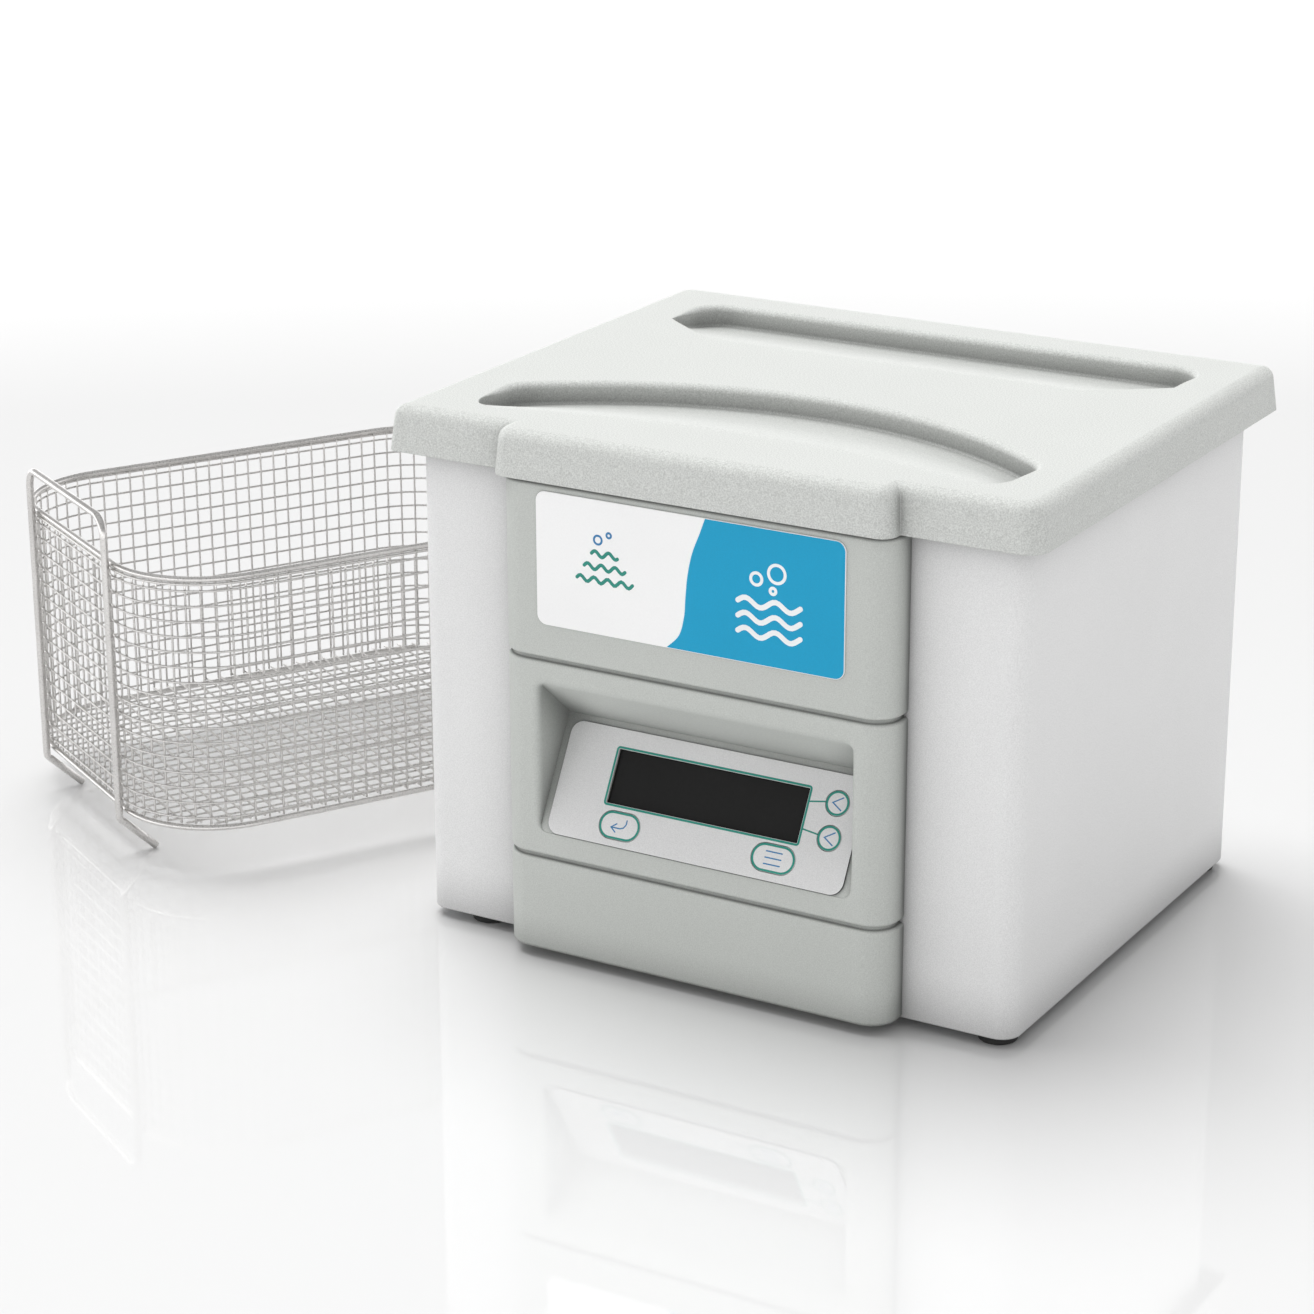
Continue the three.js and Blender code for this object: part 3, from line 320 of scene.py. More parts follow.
def stroke(points, w, cap=6):
    # outline of a pen stroke with round ends
    L, R = [], []
    n = len(points)
    def nrm(i):
        a = points[max(0, i - 1)]; b = points[min(n - 1, i + 1)]
        d = math.dist(a, b); return (-(b[1] - a[1]) / d, (b[0] - a[0]) / d)
    def mitre(i):
        if i in (0, n - 1): return nrm(i)
        a, b, c = points[i - 1], points[i], points[i + 1]
        d1, d2 = math.dist(a, b), math.dist(b, c)
        n1 = (-(b[1] - a[1]) / d1, (b[0] - a[0]) / d1); n2 = (-(c[1] - b[1]) / d2, (c[0] - b[0]) / d2)
        m = (n1[0] + n2[0], n1[1] + n2[1]); k = 1 / max(0.35, m[0] * n1[0] + m[1] * n1[1])
        return (m[0] * k, m[1] * k)
    for i, (x, y) in enumerate(points):
        nx, ny = mitre(i)
        L.append((x + nx * w / 2, y + ny * w / 2)); R.append((x - nx * w / 2, y - ny * w / 2))
    def end(p, nx, ny):
        a0 = math.atan2(ny, nx)
        return [(p[0] + w / 2 * math.cos(a0 - k / cap * PI), p[1] + w / 2 * math.sin(a0 - k / cap * PI)) for k in range(1, cap)]
    nx, ny = nrm(n - 1); e1 = end(points[-1], nx, ny)
    nx, ny = nrm(0); e0 = end(points[0], -nx, -ny)
    return list(reversed(clean(L + e1 + R[::-1] + e0)))
def circle(x, y, r, n=40): return [(x + r * math.cos(2 * PI * i / n), y + r * math.sin(2 * PI * i / n)) for i in range(n)]
def smooth(points, n=8):
    out = []; m = len(points)
    for i in range(m - 1):
        p0, p1, p2, p3 = points[max(0, i - 1)], points[i], points[i + 1], points[min(m - 1, i + 2)]
        for k in range(n):
            t = k / n
            out.append(tuple(0.5 * (2 * p1[j] + (p2[j] - p0[j]) * t + (2 * p0[j] - 5 * p1[j] + 4 * p2[j] - p3[j]) * t * t + (3 * p1[j] - p0[j] - 3 * p2[j] + p3[j]) * t ** 3) for j in range(2)))
    return out + [tuple(points[-1])]

# ============================================================ lid
LID_TOP, LID_BOTTOM, LID_ROUND = 264.6, 241.7, 6.0
LX0, LX1, LY0, LY1 = -170.6, 170.6, -140.4, 141.3
BP0, BP1, BPY = -106.4, 103.2, -150.9
def lid_outline(t, n=10):
    (ra, rb, rc, rd), br = [max(v - t, v * 0.2) for v in (4, 9, 4, 11)], max(8 - t, 1); p = []
    def arc(cx, cy, rad, a0, m=n):
        for i in range(m + 1):
            a = a0 + i / m * PI / 2; p.append((cx + rad * math.cos(a), cy + rad * math.sin(a)))
    arc(LX1 - t - ra, LY1 - t - ra, ra, 0); arc(LX0 + t + rb, LY1 - t - rb, rb, PI / 2); arc(LX0 + t + rc, LY0 + t + rc, rc, PI)
    # the inside corner beside the bump, broken by a small radius
    c = 0.5 + t * 0.12
    for i in range(5):
        a = PI / 2 - i / 4 * PI / 2
        p.append((BP0 + t - c + c * math.cos(a), LY0 + t - c + c * math.sin(a)))
    arc(BP0 + t + br, BPY + t + br, br, PI); arc(BP1 - t - br, BPY + t + br, br, 1.5 * PI)
    for i in range(5):
        a = PI - i / 4 * PI / 2
        p.append((BP1 - t + c + c * math.cos(a), LY0 + t - c + c * math.sin(a)))
    arc(LX1 - t - rd, LY0 + t + rd, rd, 1.5 * PI)
    return p
def lid_ring(t, z):
    k = 1 - 0.0119 * (z - LID_BOTTOM) / 18
    return [(x * k, y * k, z) for x, y in lid_outline(t)]

SD = 11.0
def fall(v):
    v = max(0.0, min(1.0, v))
    if v < 0.15: return 1.29 * v * v / 0.3
    if v < 0.75: return 1.29 * (v - 0.075)
    u = (v - 0.75) / 0.25
    return 0.87075 * (2 * u ** 3 - 3 * u ** 2 + 1) + 0.3225 * (u ** 3 - 2 * u ** 2 + u) + (3 * u ** 2 - 2 * u ** 3)
def rear_depth(x, y): return SD * fall((y - 43) / (111.3 - 43))
def front_depth(x, y):
    y0 = -106 - 12 / 110 ** 2 * x * x; y1 = -245 + math.sqrt(217 ** 2 - x * x)
    return SD * fall((y - y0) / (y1 - y0))
def arc_pts(cx, cy, r, a0, a1, n): return [(cx + r * math.cos(a0 + (a1 - a0) * i / n), cy + r * math.sin(a0 + (a1 - a0) * i / n)) for i in range(n + 1)]
def sub(points, step): return dense(points, step)[:-1]
X0, X1 = -138.0, 142.0
rear_plan = clean(sub([(X0, 73.5), (-134.2, 70.2), (-125, 63.4), (-116, 56.8), (-106, 49.6), (-97, 43.2)], 4) + sub([(-97, 43.0), (101, 43.0)], 6)
                  + sub([(101, 43.2), (110, 49.6), (120, 56.8), (129, 63.4), (138.2, 70.2), (X1, 73.5)], 4) + sub([(X1, 73.5), (X1, 96.3)], 4)
                  + arc_pts(X1 - 15, 96.3, 15, 0, PI / 2, 12) + sub([(X1 - 15, 111.3), (X0 + 15, 111.3)], 6)[1:] + arc_pts(X0 + 15, 96.3, 15, PI / 2, PI, 12) + sub([(X0, 96.3), (X0, 73.5)], 4)[1:])
# where the arc wall meets each side wall, through a 15 mm corner
def arc_corner(xs, s):
    r = 15; cx = xs - s * r; cy = -245 + math.sqrt((217 - r) ** 2 - cx * cx); a = math.atan2(cy + 245, cx)
    return cx, cy, a
cxr, cyr, ar = arc_corner(X1, 1); cxl, cyl, al = arc_corner(X0, -1)
front_line = [(x, -106 - 12 / 110 ** 2 * x * x) for x in [i * 6 for i in range(-20, 21)]]
front_plan = clean(smooth([(X0, -104), (X0 + 0.8, -110), (X0 + 5, -116.5), (-124, -119.6), (-120, -120.2)], 4)[:-1] + front_line[1:-1]
                   + smooth([(120, -120.2), (126, -119.8), (X1 - 6, -117.2), (X1 - 1.2, -111), (X1, -104)], 4) + sub([(X1, -104), (X1, cyr)], 4)[1:]
                   + arc_pts(cxr, cyr, 15, 0, ar, 10) + arc_pts(0, -245, 217, ar, al, 64)[1:-1] + arc_pts(cxl, cyl, 15, al, PI, 10) + sub([(X0, cyl), (X0, -104)], 4)[1:])

lid = Mesh()
rings = [lid_ring(0.5, LID_BOTTOM), lid_ring(0.15, LID_BOTTOM + 0.15), lid_ring(0, LID_BOTTOM + 0.5), lid_ring(0, 247), lid_ring(0, 251.5), lid_ring(0, LID_TOP - LID_ROUND)]
for i in range(1, 13):
    a = i / 12 * PI / 2; rings.append(lid_ring(LID_ROUND * (1 - math.cos(a)), LID_TOP - LID_ROUND * (1 - math.sin(a))))
lid.loft(rings)
top_holes = []
for plan, depth, crisp in ((rear_plan, rear_depth, lambda x, y: y < 90), (front_plan, front_depth, lambda x, y: y < -96)):
    nv = normals2(plan); d = [depth(x, y) for x, y in plan]
    # rounding radius: broad on the walls, tight on the low edges; neighbours are averaged so that it fades
    R = [0.5 if crisp(x, y) else 3.4 for x, y in plan]
    for _ in range(5): R = [(R[i - 1] + R[i] + R[(i + 1) % len(R)]) / 3 for i in range(len(R))]
    R = [min(r, 0.62 * dd) for r, dd in zip(R, d)]; F = [min(1.3, 0.3 * dd) for dd in d]
    def ring(off, drop):
        return [(x + nx * off(i), y + ny * off(i), LID_TOP - drop(i)) for i, ((x, y), (nx, ny)) in enumerate(zip(plan, nv))]
    rg = [ring(lambda i, a=a: R[i] * (1 - math.sin(a)), lambda i, a=a: R[i] * (1 - math.cos(a))) for a in [k / 6 * PI / 2 for k in range(7)]]
    rg.append(ring(lambda i: 0, lambda i: (d[i] - F[i] + R[i]) / 2))
    for a in [k / 3 * PI / 2 for k in range(4)]:
        rg.append(ring(lambda i, a=a: -F[i] * (1 - math.cos(a)), lambda i, a=a: d[i] - F[i] * (1 - math.sin(a))))
    lid.loft(rg)
    foot = [(p[0], p[1]) for p in rg[-1]]
    xs = [p[0] for p in foot]; ys = [p[1] for p in foot]
    grid = []
    inner = offset(foot, -2.2)
    y = min(ys)
    while y < max(ys):
        x = min(xs)
        while x < max(xs):
            if inside(x, y, inner): grid.append((x, y))
            x += 4
        y += 3
    fz = {}
    for p in rg[-1]: fz[(round(p[0], 4), round(p[1], 4))] = p[2]
    lid.fill(foot, (), lambda x, y: (x, y, fz.get((round(x, 4), round(y, 4)), LID_TOP - depth(x, y))), grid)
    top_holes.append([(p[0], p[1]) for p in rg[0]])
top_outer = [(p[0], p[1]) for p in rings[-1]]
lid.fill(top_outer, top_holes, lambda x, y: (x, y, LID_TOP))
lid_o = lid.make("lid_shell", "lid", "lid", "lid", shell=True, solid=2.05, sharp=50)
ribs = Mesh()
ribs.plate(rr(-145.6, 145.6, -102.6, 119.6, 23), 245, 254.6, [rr(-143.6, 143.6, -100.6, 117.6, 21)], b=0.2, b0=0.6)
ribs.plate(rr(-154, 154, -124, 126, 10), 251.5, 262.6, [rr(-152, 152, -122, 124, 8)], b=0.2, b0=0.4)
ribs_o = ribs.make("lid_ribs", "lid", "lid", "lid")
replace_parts(lid_o, "lid")

# ============================================================ housing
HX, HY = 160.0, 130.55
def body_ring(t, z): return [(x, y, z) for x, y in rr(-HX + t, HX - t, -HY + t, HY - t, 10 - t, 12)]
hb = Mesh()
low = [body_ring(0.8, 4.6), body_ring(0.25, 4.85), body_ring(0, 5.4)]
high = [body_ring(2 * (1 - math.cos(a)), 245.9 + 2 * math.sin(a)) for a in [k / 5 * PI / 2 for k in range(6)]]
hb.loft(low); hb.loft(high)
ring = body_ring(0, 5.4); nseg = len(ring)
corner = 13
for i in range(nseg):
    j = (i + 1) % nseg
    a, b = ring[i], ring[j]
    flat = abs(a[0] - b[0]) > 100
    if not flat: hb.loft([[(*a[:2], 5.4), (*b[:2], 5.4)], [(*a[:2], 245.9), (*b[:2], 245.9)]], closed=False)
    else:
        y = a[1]; xs = sorted((a[0], b[0]))
        if y < 0: holes = [rr(-93, 95.6, 58, 151, 3, 4)]
        else:
            holes = [rr(-122.2, -93.8, 33.3, 54.7, 2, 4), rr(-71.5, -52.5, 30.6, 57.4, 1.5, 4)]
            holes += [rr(8 + 9 * k, 11 + 9 * k, 28, 64, 1.5, 5) for k in range(12)]
        hb.fill([(xs[0], 5.4), (xs[1], 5.4), (xs[1], 245.9), (xs[0], 245.9)], holes, lambda x, z, y=y: (x, y, z))
lip = rr(-150.5, 150.5, -107.5, 124.5, 28)
hb.fill([(p[0], p[1]) for p in high[-1]], [lip], lambda x, y: (x, y, 247.9))
hb.loft([[(x, y, 247.9) for x, y in lip], [(x, y, 247.6) for x, y in offset(lip, -0.25)]])
ho = hb.make("housing_shell", "body", "housing", "housing", shell=True, solid=1.5, sharp=50)
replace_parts(ho, "housing_body")

bp = Mesh()
slots = [rr(s * (62 + 9 * i) - 1.5, s * (62 + 9 * i) + 1.5, -40, 0, 1.5, 5) for i in range(6) for s in (-1, 1)]
bores = [circle(x, y, 2.3, 24) for x, y in ((-131, -118), (147.5, -118), (-131, 118), (147.5, 118))]
bp.plate(rr(-HX + 1.8, HX - 1.8, -HY + 1.8, HY - 1.8, 8.2), 4.6, 6.1, slots + bores, b=0.25)
for x, y in ((-48, -92), (48, -92), (-48, 62), (48, 62)):
    bp.turned([(0, 5.6), (4.2, 5.6), (3.4, 6.6), (3, 7.6), (3, 14.2), (2.5, 14.7), (0, 14.7)], x, y, 24)
# a folded edge inside the housing
bp.plate(rr(-HX + 1.8, HX - 1.8, -HY + 1.8, HY - 1.8, 8.2), 5.4, 12, [rr(-HX + 3.3, HX - 3.3, -HY + 3.3, HY - 3.3, 6.7)], b=0.3)
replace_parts(bp.make("base_pan", "zinc", "housing", "zinc"), "base_plate")

FEET = {"front_left": (-131, -118), "front_right": (147.5, -118), "rear_left": (-131, 118), "rear_right": (147.5, 118)}
for tag, (x, y) in FEET.items():
    f = Mesh()
    prof = [(2.4, 2.4), (4.5, 2.4), (4.8, 2.1), (4.8, 0.5), (5.1, 0.1), (5.6, 0), (8.3, 0), (8.9, 0.15), (9.25, 0.5), (9.4, 1.0), (9.4, 3.8), (9.1, 4.3), (2.4, 4.3), (2.4, 2.4)]
    f.turned(prof, x, y, 48)
    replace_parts(f.make("rubber_foot_" + tag, "rubber", "housing", "rubber"), "foot_" + tag)
    s = Mesh()
    cross = [(0.45, 2.2), (-0.45, 2.2), (-0.45, 0.45), (-2.2, 0.45), (-2.2, -0.45), (-0.45, -0.45), (-0.45, -2.2), (0.45, -2.2), (0.45, -0.45), (2.2, -0.45), (2.2, 0.45), (0.45, 0.45)]
    s.plate(circle(x, y, 4.1, 32), 0.7, 1.7, [[(x + a, y + b) for a, b in cross]], b=0.05, b0=0.5, steps=3)
    s.turned([(0, 1.6), (4.1, 1.6), (4.1, 2.1), (1.9, 2.1), (1.9, 8.6), (1.5, 9), (0, 9)], x, y, 24)
    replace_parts(s.make("screw_" + tag, "zinc", "housing", "zinc"), "foot_screw_" + tag)

# ============================================================ fascia
FW, FR, FZ0, FZ1 = 104.1, 13.8, 4.6, 241.3
BACK = -HY - 0.3
def fas_plan(t, n=12):
    p = [(FW - t, BACK)]
    r = FR - t
    # from the back of the right side, forward, across the front, and back along the left side
    p += [(FW - t, FAS_Y + FR)] if False else []
    for i in range(n + 1):
        a = -i / n * PI / 2; p.append((FW - t - r + r * math.cos(a), FAS_Y + t + r + r * math.sin(a)))
    for i in range(n + 1):
        a = -PI / 2 - i / n * PI / 2; p.append((-FW + t + r + r * math.cos(a), FAS_Y + t + r + r * math.sin(a)))
    p.append((-FW + t, BACK))
    return p
def groove(zc, d=2.4, core=0.95, soft=1.75):
    # narrow channel with rounded shoulders
    half = []
    for k in range(8):
        a = k / 7 * PI / 2; half.append((core + soft * math.cos(a), (d - core * 0.75) * (1 - math.sin(PI / 2 - a)) if k < 7 else d - core * 0.75))
    half = [(core + soft * (1 - math.sin(k / 7 * PI / 2)), (d - core * 0.75) * (1 - math.cos(k / 7 * PI / 2))) for k in range(8)]
    half += [(core * math.cos(a), d - core * 0.75 + core * 0.75 * math.sin(a)) for a in [k / 4 * PI / 2 for k in range(1, 5)]]
    return [(zc - u, e) for u, e in half] + [(zc + u, e) for u, e in reversed(half[:-1])]
rows = [(FZ0, 2.2), (FZ0 + 0.15, 1.5), (FZ0 + 0.6, 0.75), (FZ0 + 1.3, 0.2), (FZ0 + 2.2, 0.0)]
g1, g2 = groove(53.9), groove(154.6)
rows += g1 + [(59.2, 0.0), (150.4, 0.0)] + g2 + [(FZ1 - 2.2, 0), (FZ1 - 1.3, 0.2), (FZ1 - 0.6, 0.75), (FZ1 - 0.15, 1.5), (FZ1, 2.2)]
fa = Mesh()
secs = [[(x, y, z) for x, y in fas_plan(t)] for z, t in rows]
iz = [z for z, _ in rows].index(59.2)
fa.loft(secs[:iz + 1], closed=False); fa.loft(secs[iz + 1:], closed=False)
# between the two grooves: sides and corners as strips, front as a filled frame round the recess
s0, s1 = secs[iz], secs[iz + 1]; m = len(s0)
zr = [59.2, 66, 76, 88, 104, 118.94, 132, 143, 150.4]
for i in range(m - 1):
    a, b = s0[i], s0[i + 1]
    if abs(a[0] - b[0]) > 100: xa, xb = sorted((a[0], b[0])); continue
    fa.loft([[(*a[:2], 59.2), (*b[:2], 59.2)], [(*a[:2], 150.4), (*b[:2], 150.4)]], closed=False)
PX0, PX1, PZ1 = -82.2, 84.8, 143.4
CRZ = PZ0 + 59.5 * TC; CRY = 59.5 * TS
def back_at(z): return (z - PZ0) * TS / TC if z <= CRZ else (PZ1 - z) * CRY / (PZ1 - CRZ)
def recess_outline(r=4.0, n=6):
    p = []
    for cx, cy, a0 in ((PX1 - r, PZ1 - r, 0), (PX0 + r, PZ1 - r, PI / 2), (PX0 + r, PZ0 + r, PI), (PX1 - r, PZ0 + r, 1.5 * PI)):
        for i in range(n + 1):
            a = a0 + i / n * PI / 2; p.append((cx + r * math.cos(a), cy + r * math.sin(a)))
        if a0 == PI / 2: p += [(PX0, z) for z in (136, 132, 128, 124, CRZ, 114, 108, 102, 96, 90, 84, 80, 76)]
        if a0 == 1.5 * PI: p += [(PX1, z) for z in (76, 80, 84, 90, 96, 102, 108, 114, CRZ, 124, 128, 132, 136)]
    return clean(p)
ro = recess_outline(); rn = normals2(ro)
# mouth edge blended into the wall behind it; the blend is tight along the sill
SLOPE = math.hypot(PZ1 - CRZ, CRY); AIN, ABK = (PZ1 - CRZ) / SLOPE, CRY / SLOPE
mouth = []
for (x, z), (nx, nz) in zip(ro, rn):
    t = 4.2 if nz > 0.3 else min(4.2, 0.75 * back_at(z) + 0.3)
    a_ = AIN * max(0.0, nz); b_ = math.sqrt(1 - a_ * a_)
    while t > 0.3 and b_ * t > back_at(z - nz * a_ * t) + 0.05: t *= 0.95
    mouth.append(t)
for _ in range(2): mouth = [(mouth[i - 1] + mouth[i] + mouth[(i + 1) % len(mouth)]) / 3 for i in range(len(mouth))]
rg = [[] for _ in range(9)]
for (x, z), (nx, nz), t in zip(ro, rn, mouth):
    a_ = AIN * max(0.0, nz); b_ = math.sqrt(1 - a_ * a_)
    p0 = (x + nx * t, 0.0, z + nz * t); p1 = (x, 0.0, z); p2 = (x - nx * a_ * t, b_ * t, z - nz * a_ * t)
    for k in range(9):
        u = k / 8
        q = [(1 - u) ** 2 * p0[j] + 2 * u * (1 - u) * p1[j] + u * u * p2[j] for j in range(3)]
        rg[k].append((q[0], FAS_Y + q[1], q[2]))
deep = [(p[0], max(FAS_Y + back_at(p[2]), p[1]), p[2]) for p in rg[-1]]
mid = [tuple((p[k] + r[k]) / 2 for k in range(3)) for p, r in zip(deep, rg[-1])]
fa.loft(rg + [mid, deep])
fa.fill([(xa, 59.2), (xb, 59.2), (xb, 150.4), (xa, 150.4)], [[(p[0], p[2]) for p in rg[0]]], lambda x, z: (x, FAS_Y, z))
lowp = clean([(x, z) for x, y, z in deep if z <= CRZ + 1e-6]); highp = clean([(x, z) for x, y, z in deep if z >= CRZ - 1e-6])
dy = {(round(p[0], 3), round(p[2], 3)): p[1] for p in deep}
def order(poly):                                       # keep the loop order as it is
    return poly
KEYS = {"key_enter": (-40, 10.4, 22, 13.4), "key_menu": (42.8, 10.9, 22.8, 13.4), "key_select_upper": (68.2, 42.2, 12, 12), "key_select_lower": (68.2, 25.6, 12, 12)}
WIN = (-50.2, 52.9, 20.2, 46.6)
def key_rr(name, grow=0.0):
    x, y, w, h = KEYS[name]; return rr(x - w / 2 - grow, x + w / 2 + grow, y - h / 2 - grow, y + h / 2 + grow, h / 2 + grow - 0.01, 12)
holes_panel = [rr(WIN[0] - 0.3, WIN[1] + 0.3, WIN[2] - 0.3, WIN[3] + 0.3, 0.5, 3)] + [key_rr(k, 0.3) for k in KEYS]
holes_view = [[(x, PZ0 + y * TC) for x, y in h] for h in holes_panel]
fa.fill(lowp, holes_view, lambda x, z: (x, dy.get((round(x, 3), round(z, 3)), FAS_Y + back_at(z)), z))
fa.fill(highp, (), lambda x, z: (x, dy.get((round(x, 3), round(z, 3)), FAS_Y + back_at(z)), z))
# closed bottom and top
for z in (FZ0, FZ1):
    fa.fill(list(reversed(fas_plan(2.2))), (), lambda x, y, z=z: (x, y, z))
fo = fa.make("fascia_moulding", "fascia", "housing", "fascia", shell=True, solid=2.4, sharp=48)
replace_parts(fo, "fascia")

# ============================================================ label
lb = Mesh()
lb.plate(rr(-81.2, 81.2, 172.5, 237.8, 5, 10), -0.05, 0.62, b=0.12, b0=0.02)
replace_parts(lb.make("label_film", "white", "housing", "label", at=facing), "label_panel")
sb = smooth([(9.4, 237.8), (6.6, 230.2), (2.6, 220), (0.2, 209), (-0.9, 198), (-1.6, 189), (-4.4, 179.5), (-11.2, 172.5)], 8)
def clip_rr(x): return x
outer = rr(-80.9, 80.9, 172.8, 237.5, 4.7, 10)
right = [p for p in outer if p[0] > 20]
# right part of the film: boundary curve, then round the right-hand corners
top_r = [p for p in right if p[1] > 205]; bot_r = [p for p in right if p[1] <= 205]
sb_in = [(x, max(172.8, min(237.5, y))) for x, y in sb]
blue = clean([*sb_in, *bot_r, *top_r])
bl = Mesh(); bl.plate(blue if area2(blue) > 0 else list(reversed(blue)), 0.5, 0.66, b=0.0, b0=0.0, steps=1)
bl.make("label_blue_field", "blue", "housing", "label", at=facing, merge=0.0005)
# plain generic marks: three ripples and bubbles on the blue, a tone of ripples on the white
art = Mesh()
for k in range(3):
    y0 = 187.5 + k * 7.2
    art.plate(stroke([(26.5 + i * 1.4, y0 + 1.9 * math.sin(i * 1.4 / 31.0 * 4 * PI)) for i in range(24)], 2.5), 0.6, 0.74, b=0.02, b0=0.0, steps=1)
for x, y, r in ((36, 213.4, 3.6), (46.5, 217.2, 5.0), (44.6, 208.9, 2.2)):
    art.plate(circle(x, y, r, 40), 0.6, 0.74, [list(reversed(circle(x, y, r - 1.5, 40)))], b=0.02, b0=0.0, steps=1)
art.make("label_ripples_white", "ink_white", "housing", "label", at=facing, merge=0.0005)
art = Mesh()
for k, w in enumerate((30, 22, 14)):
    y0 = 199 + k * 6.4; n = 30
    art.plate(stroke([(-44 - w / 2 + w * i / n, y0 + 1.3 * math.sin(i / n * w / 7.4 * 2 * PI)) for i in range(n + 1)], 1.7), 0.6, 0.72, b=0.02, b0=0.0, steps=1)
art.make("label_ripples_teal", "teal", "housing", "label", at=facing, merge=0.0005)
art = Mesh()
for x, y, r in ((-47.5, 218.6, 2.6), (-41.6, 221.6, 1.7)):
    art.plate(circle(x, y, r, 32), 0.6, 0.72, [list(reversed(circle(x, y, r - 1.0, 32)))], b=0.02, b0=0.0, steps=1)
art.make("label_bubbles", "inkblue", "housing", "label", at=facing, merge=0.0005)

# ============================================================ control panel
MB = (-78.4, 80.8, 0.2, 56.2)
mb = Mesh()
mb.plate(rr(*MB, 6.5, 12), 0.02, 0.8, [rr(*WIN, 0.5, 3)] + [key_rr(k, 0.3) for k in KEYS], b=0.12, b0=0.0)
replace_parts(mb.make("membrane_film", "membrane", "housing", "membrane", at=panel, merge=0.002), "control_membrane")
ink = Mesh()
def ringplate(m, outer, w, z0=0.72, z1=0.86): m.plate(outer, z0, z1, [offset(outer, -w)], b=0.02, b0=0.0, steps=1)
ringplate(ink, offset(rr(*WIN, 0.5, 3), 1.25), 1.05)
ink.plate(stroke([(54.1, 40.5), (61.9, 41.9)], 0.75), 0.72, 0.86, b=0.02, b0=0, steps=1)
ink.plate(stroke([(54.1, 27.3), (61.9, 26.3)], 0.75), 0.72, 0.86, b=0.02, b0=0, steps=1)
ink.make("panel_lines", "teal", "housing", "membrane", at=panel, merge=0.0005)
edge = Mesh()
ringplate(edge, offset(rr(*MB, 6.5, 12), 0.05), 0.3, 0.0, 0.74)
edge.make("membrane_edge", "ink_dark", "housing", "membrane", at=panel, merge=0.0005)
wd = Mesh(); wd.plate(rr(WIN[0], WIN[1], WIN[2], WIN[3], 0.5, 4), -2.7, -1.2, b=0.25)
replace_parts(wd.make("display_glass", "window", "housing", "window", at=panel), "display_window")
glyph = {
    "key_enter": [[(-36.6, 13.6), (-36.6, 11.6), (-37.6, 9.9), (-39.4, 9.2), (-44.2, 9.2)], [(-41.6, 11.2), (-44.3, 9.2), (-41.6, 7.2)]],
    "key_menu": [[(38.6, 13.9), (47.0, 13.9)], [(38.6, 10.9), (47.0, 10.9)], [(38.6, 7.9), (47.0, 7.9)]],
    "key_select_upper": [[(70.6, 45.2), (65.8, 42.2), (70.6, 39.2)]],
    "key_select_lower": [[(70.6, 28.6), (65.8, 25.6), (70.6, 22.6)]],
}
for k, (x, y, w, h) in KEYS.items():
    kc = Mesh()
    # cap with a slightly crowned face
    rim = key_rr(k)
    rings = [[(px, py, z) for px, py in offset(rim, -t)] for t, z in ((0, -3.5), (0, 0.35), (0.05, 0.52), (0.18, 0.64), (0.4, 0.7), (1.4, 0.755), (3.2, 0.79))]
    kc.loft(rings)
    kc.fill([(p[0], p[1]) for p in rings[-1]], (), lambda a, b: (a, b, 0.79))
    kc.fill([(p[0], p[1]) for p in rings[0]], (), lambda a, b: (a, b, -3.5))
    kc.plate(offset(rim, 0.9), -3.8, -2.8, b=0.15)
    ko = kc.make(k + "_cap", "key", k, "key", at=panel)
    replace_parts(ko, k)
    ol = Mesh(); o1 = offset(rim, -0.15); o2 = offset(rim, -1.15)
    ol.loft([[(a, b, 0.5) for a, b in o1], [(a, b, 0.80) for a, b in o1], [(a, b, 0.81) for a, b in o2], [(a, b, 0.5) for a, b in o2], [(a, b, 0.5) for a, b in o1]])
    ol.make(k + "_outline", "teal", k, "key", at=panel, merge=0.0005)
    gl = Mesh()
    for st in glyph[k]: gl.plate(stroke(dense(st, 0.8) if k == "key_enter" and len(st) > 3 else st, 0.62), 0.7, 0.84, b=0.02, b0=0, steps=1)
    gl.make(k + "_glyph", "inkblue", k, "key", at=panel, merge=0.0005)

# ============================================================ tank
tk = Mesh()
tp = rr(-148, 148, -105, 122, 26, 14)
rings = [[(x, y, z) for x, y in offset(tp, t)] for t, z in ((2.0, 251.2), (1.2, 251.05), (0.5, 250.6), (0.1, 249.9), (0, 249.2), (0, 200), (0, 150), (0, 100), (0, 86))]
for i in range(1, 8):
    a = i / 7 * PI / 2; rings.append([(x, y, 86 - 12 * math.sin(a)) for x, y in offset(tp, -12 * (1 - math.cos(a)))])
tk.loft(rings)
tk.fill([(p[0], p[1]) for p in rings[-1]], (), lambda x, y: (x, y, 74))
fl = rr(-158.4, 158.4, -129, 129, 8, 8)
tk.fill(fl, [[(p[0], p[1]) for p in rings[0]]], lambda x, y: (x, y, 251.2))
me_tank = tk.make("tank_pressing", "tank", "housing", "tank_steel", sharp=50, shell=False)
# the sheet's visible side faces up and inward, so its thickness goes down and outward
bm = bmesh.new(); bm.from_mesh(me_tank.data)
up = [f for f in bm.faces if abs(f.calc_center_median().z - 0.2512) < 1e-5]
if sum(f.normal.z * f.calc_area() for f in up) < 0: bmesh.ops.reverse_faces(bm, faces=bm.faces)
bm.to_mesh(me_tank.data); bm.free()
for p in me_tank.data.polygons: p.use_smooth = True
sol = me_tank.modifiers.new("thickness", "SOLIDIFY"); sol.thickness = 0.0012; sol.offset = -1; sol.use_even_offset = True
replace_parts(me_tank, "tank")

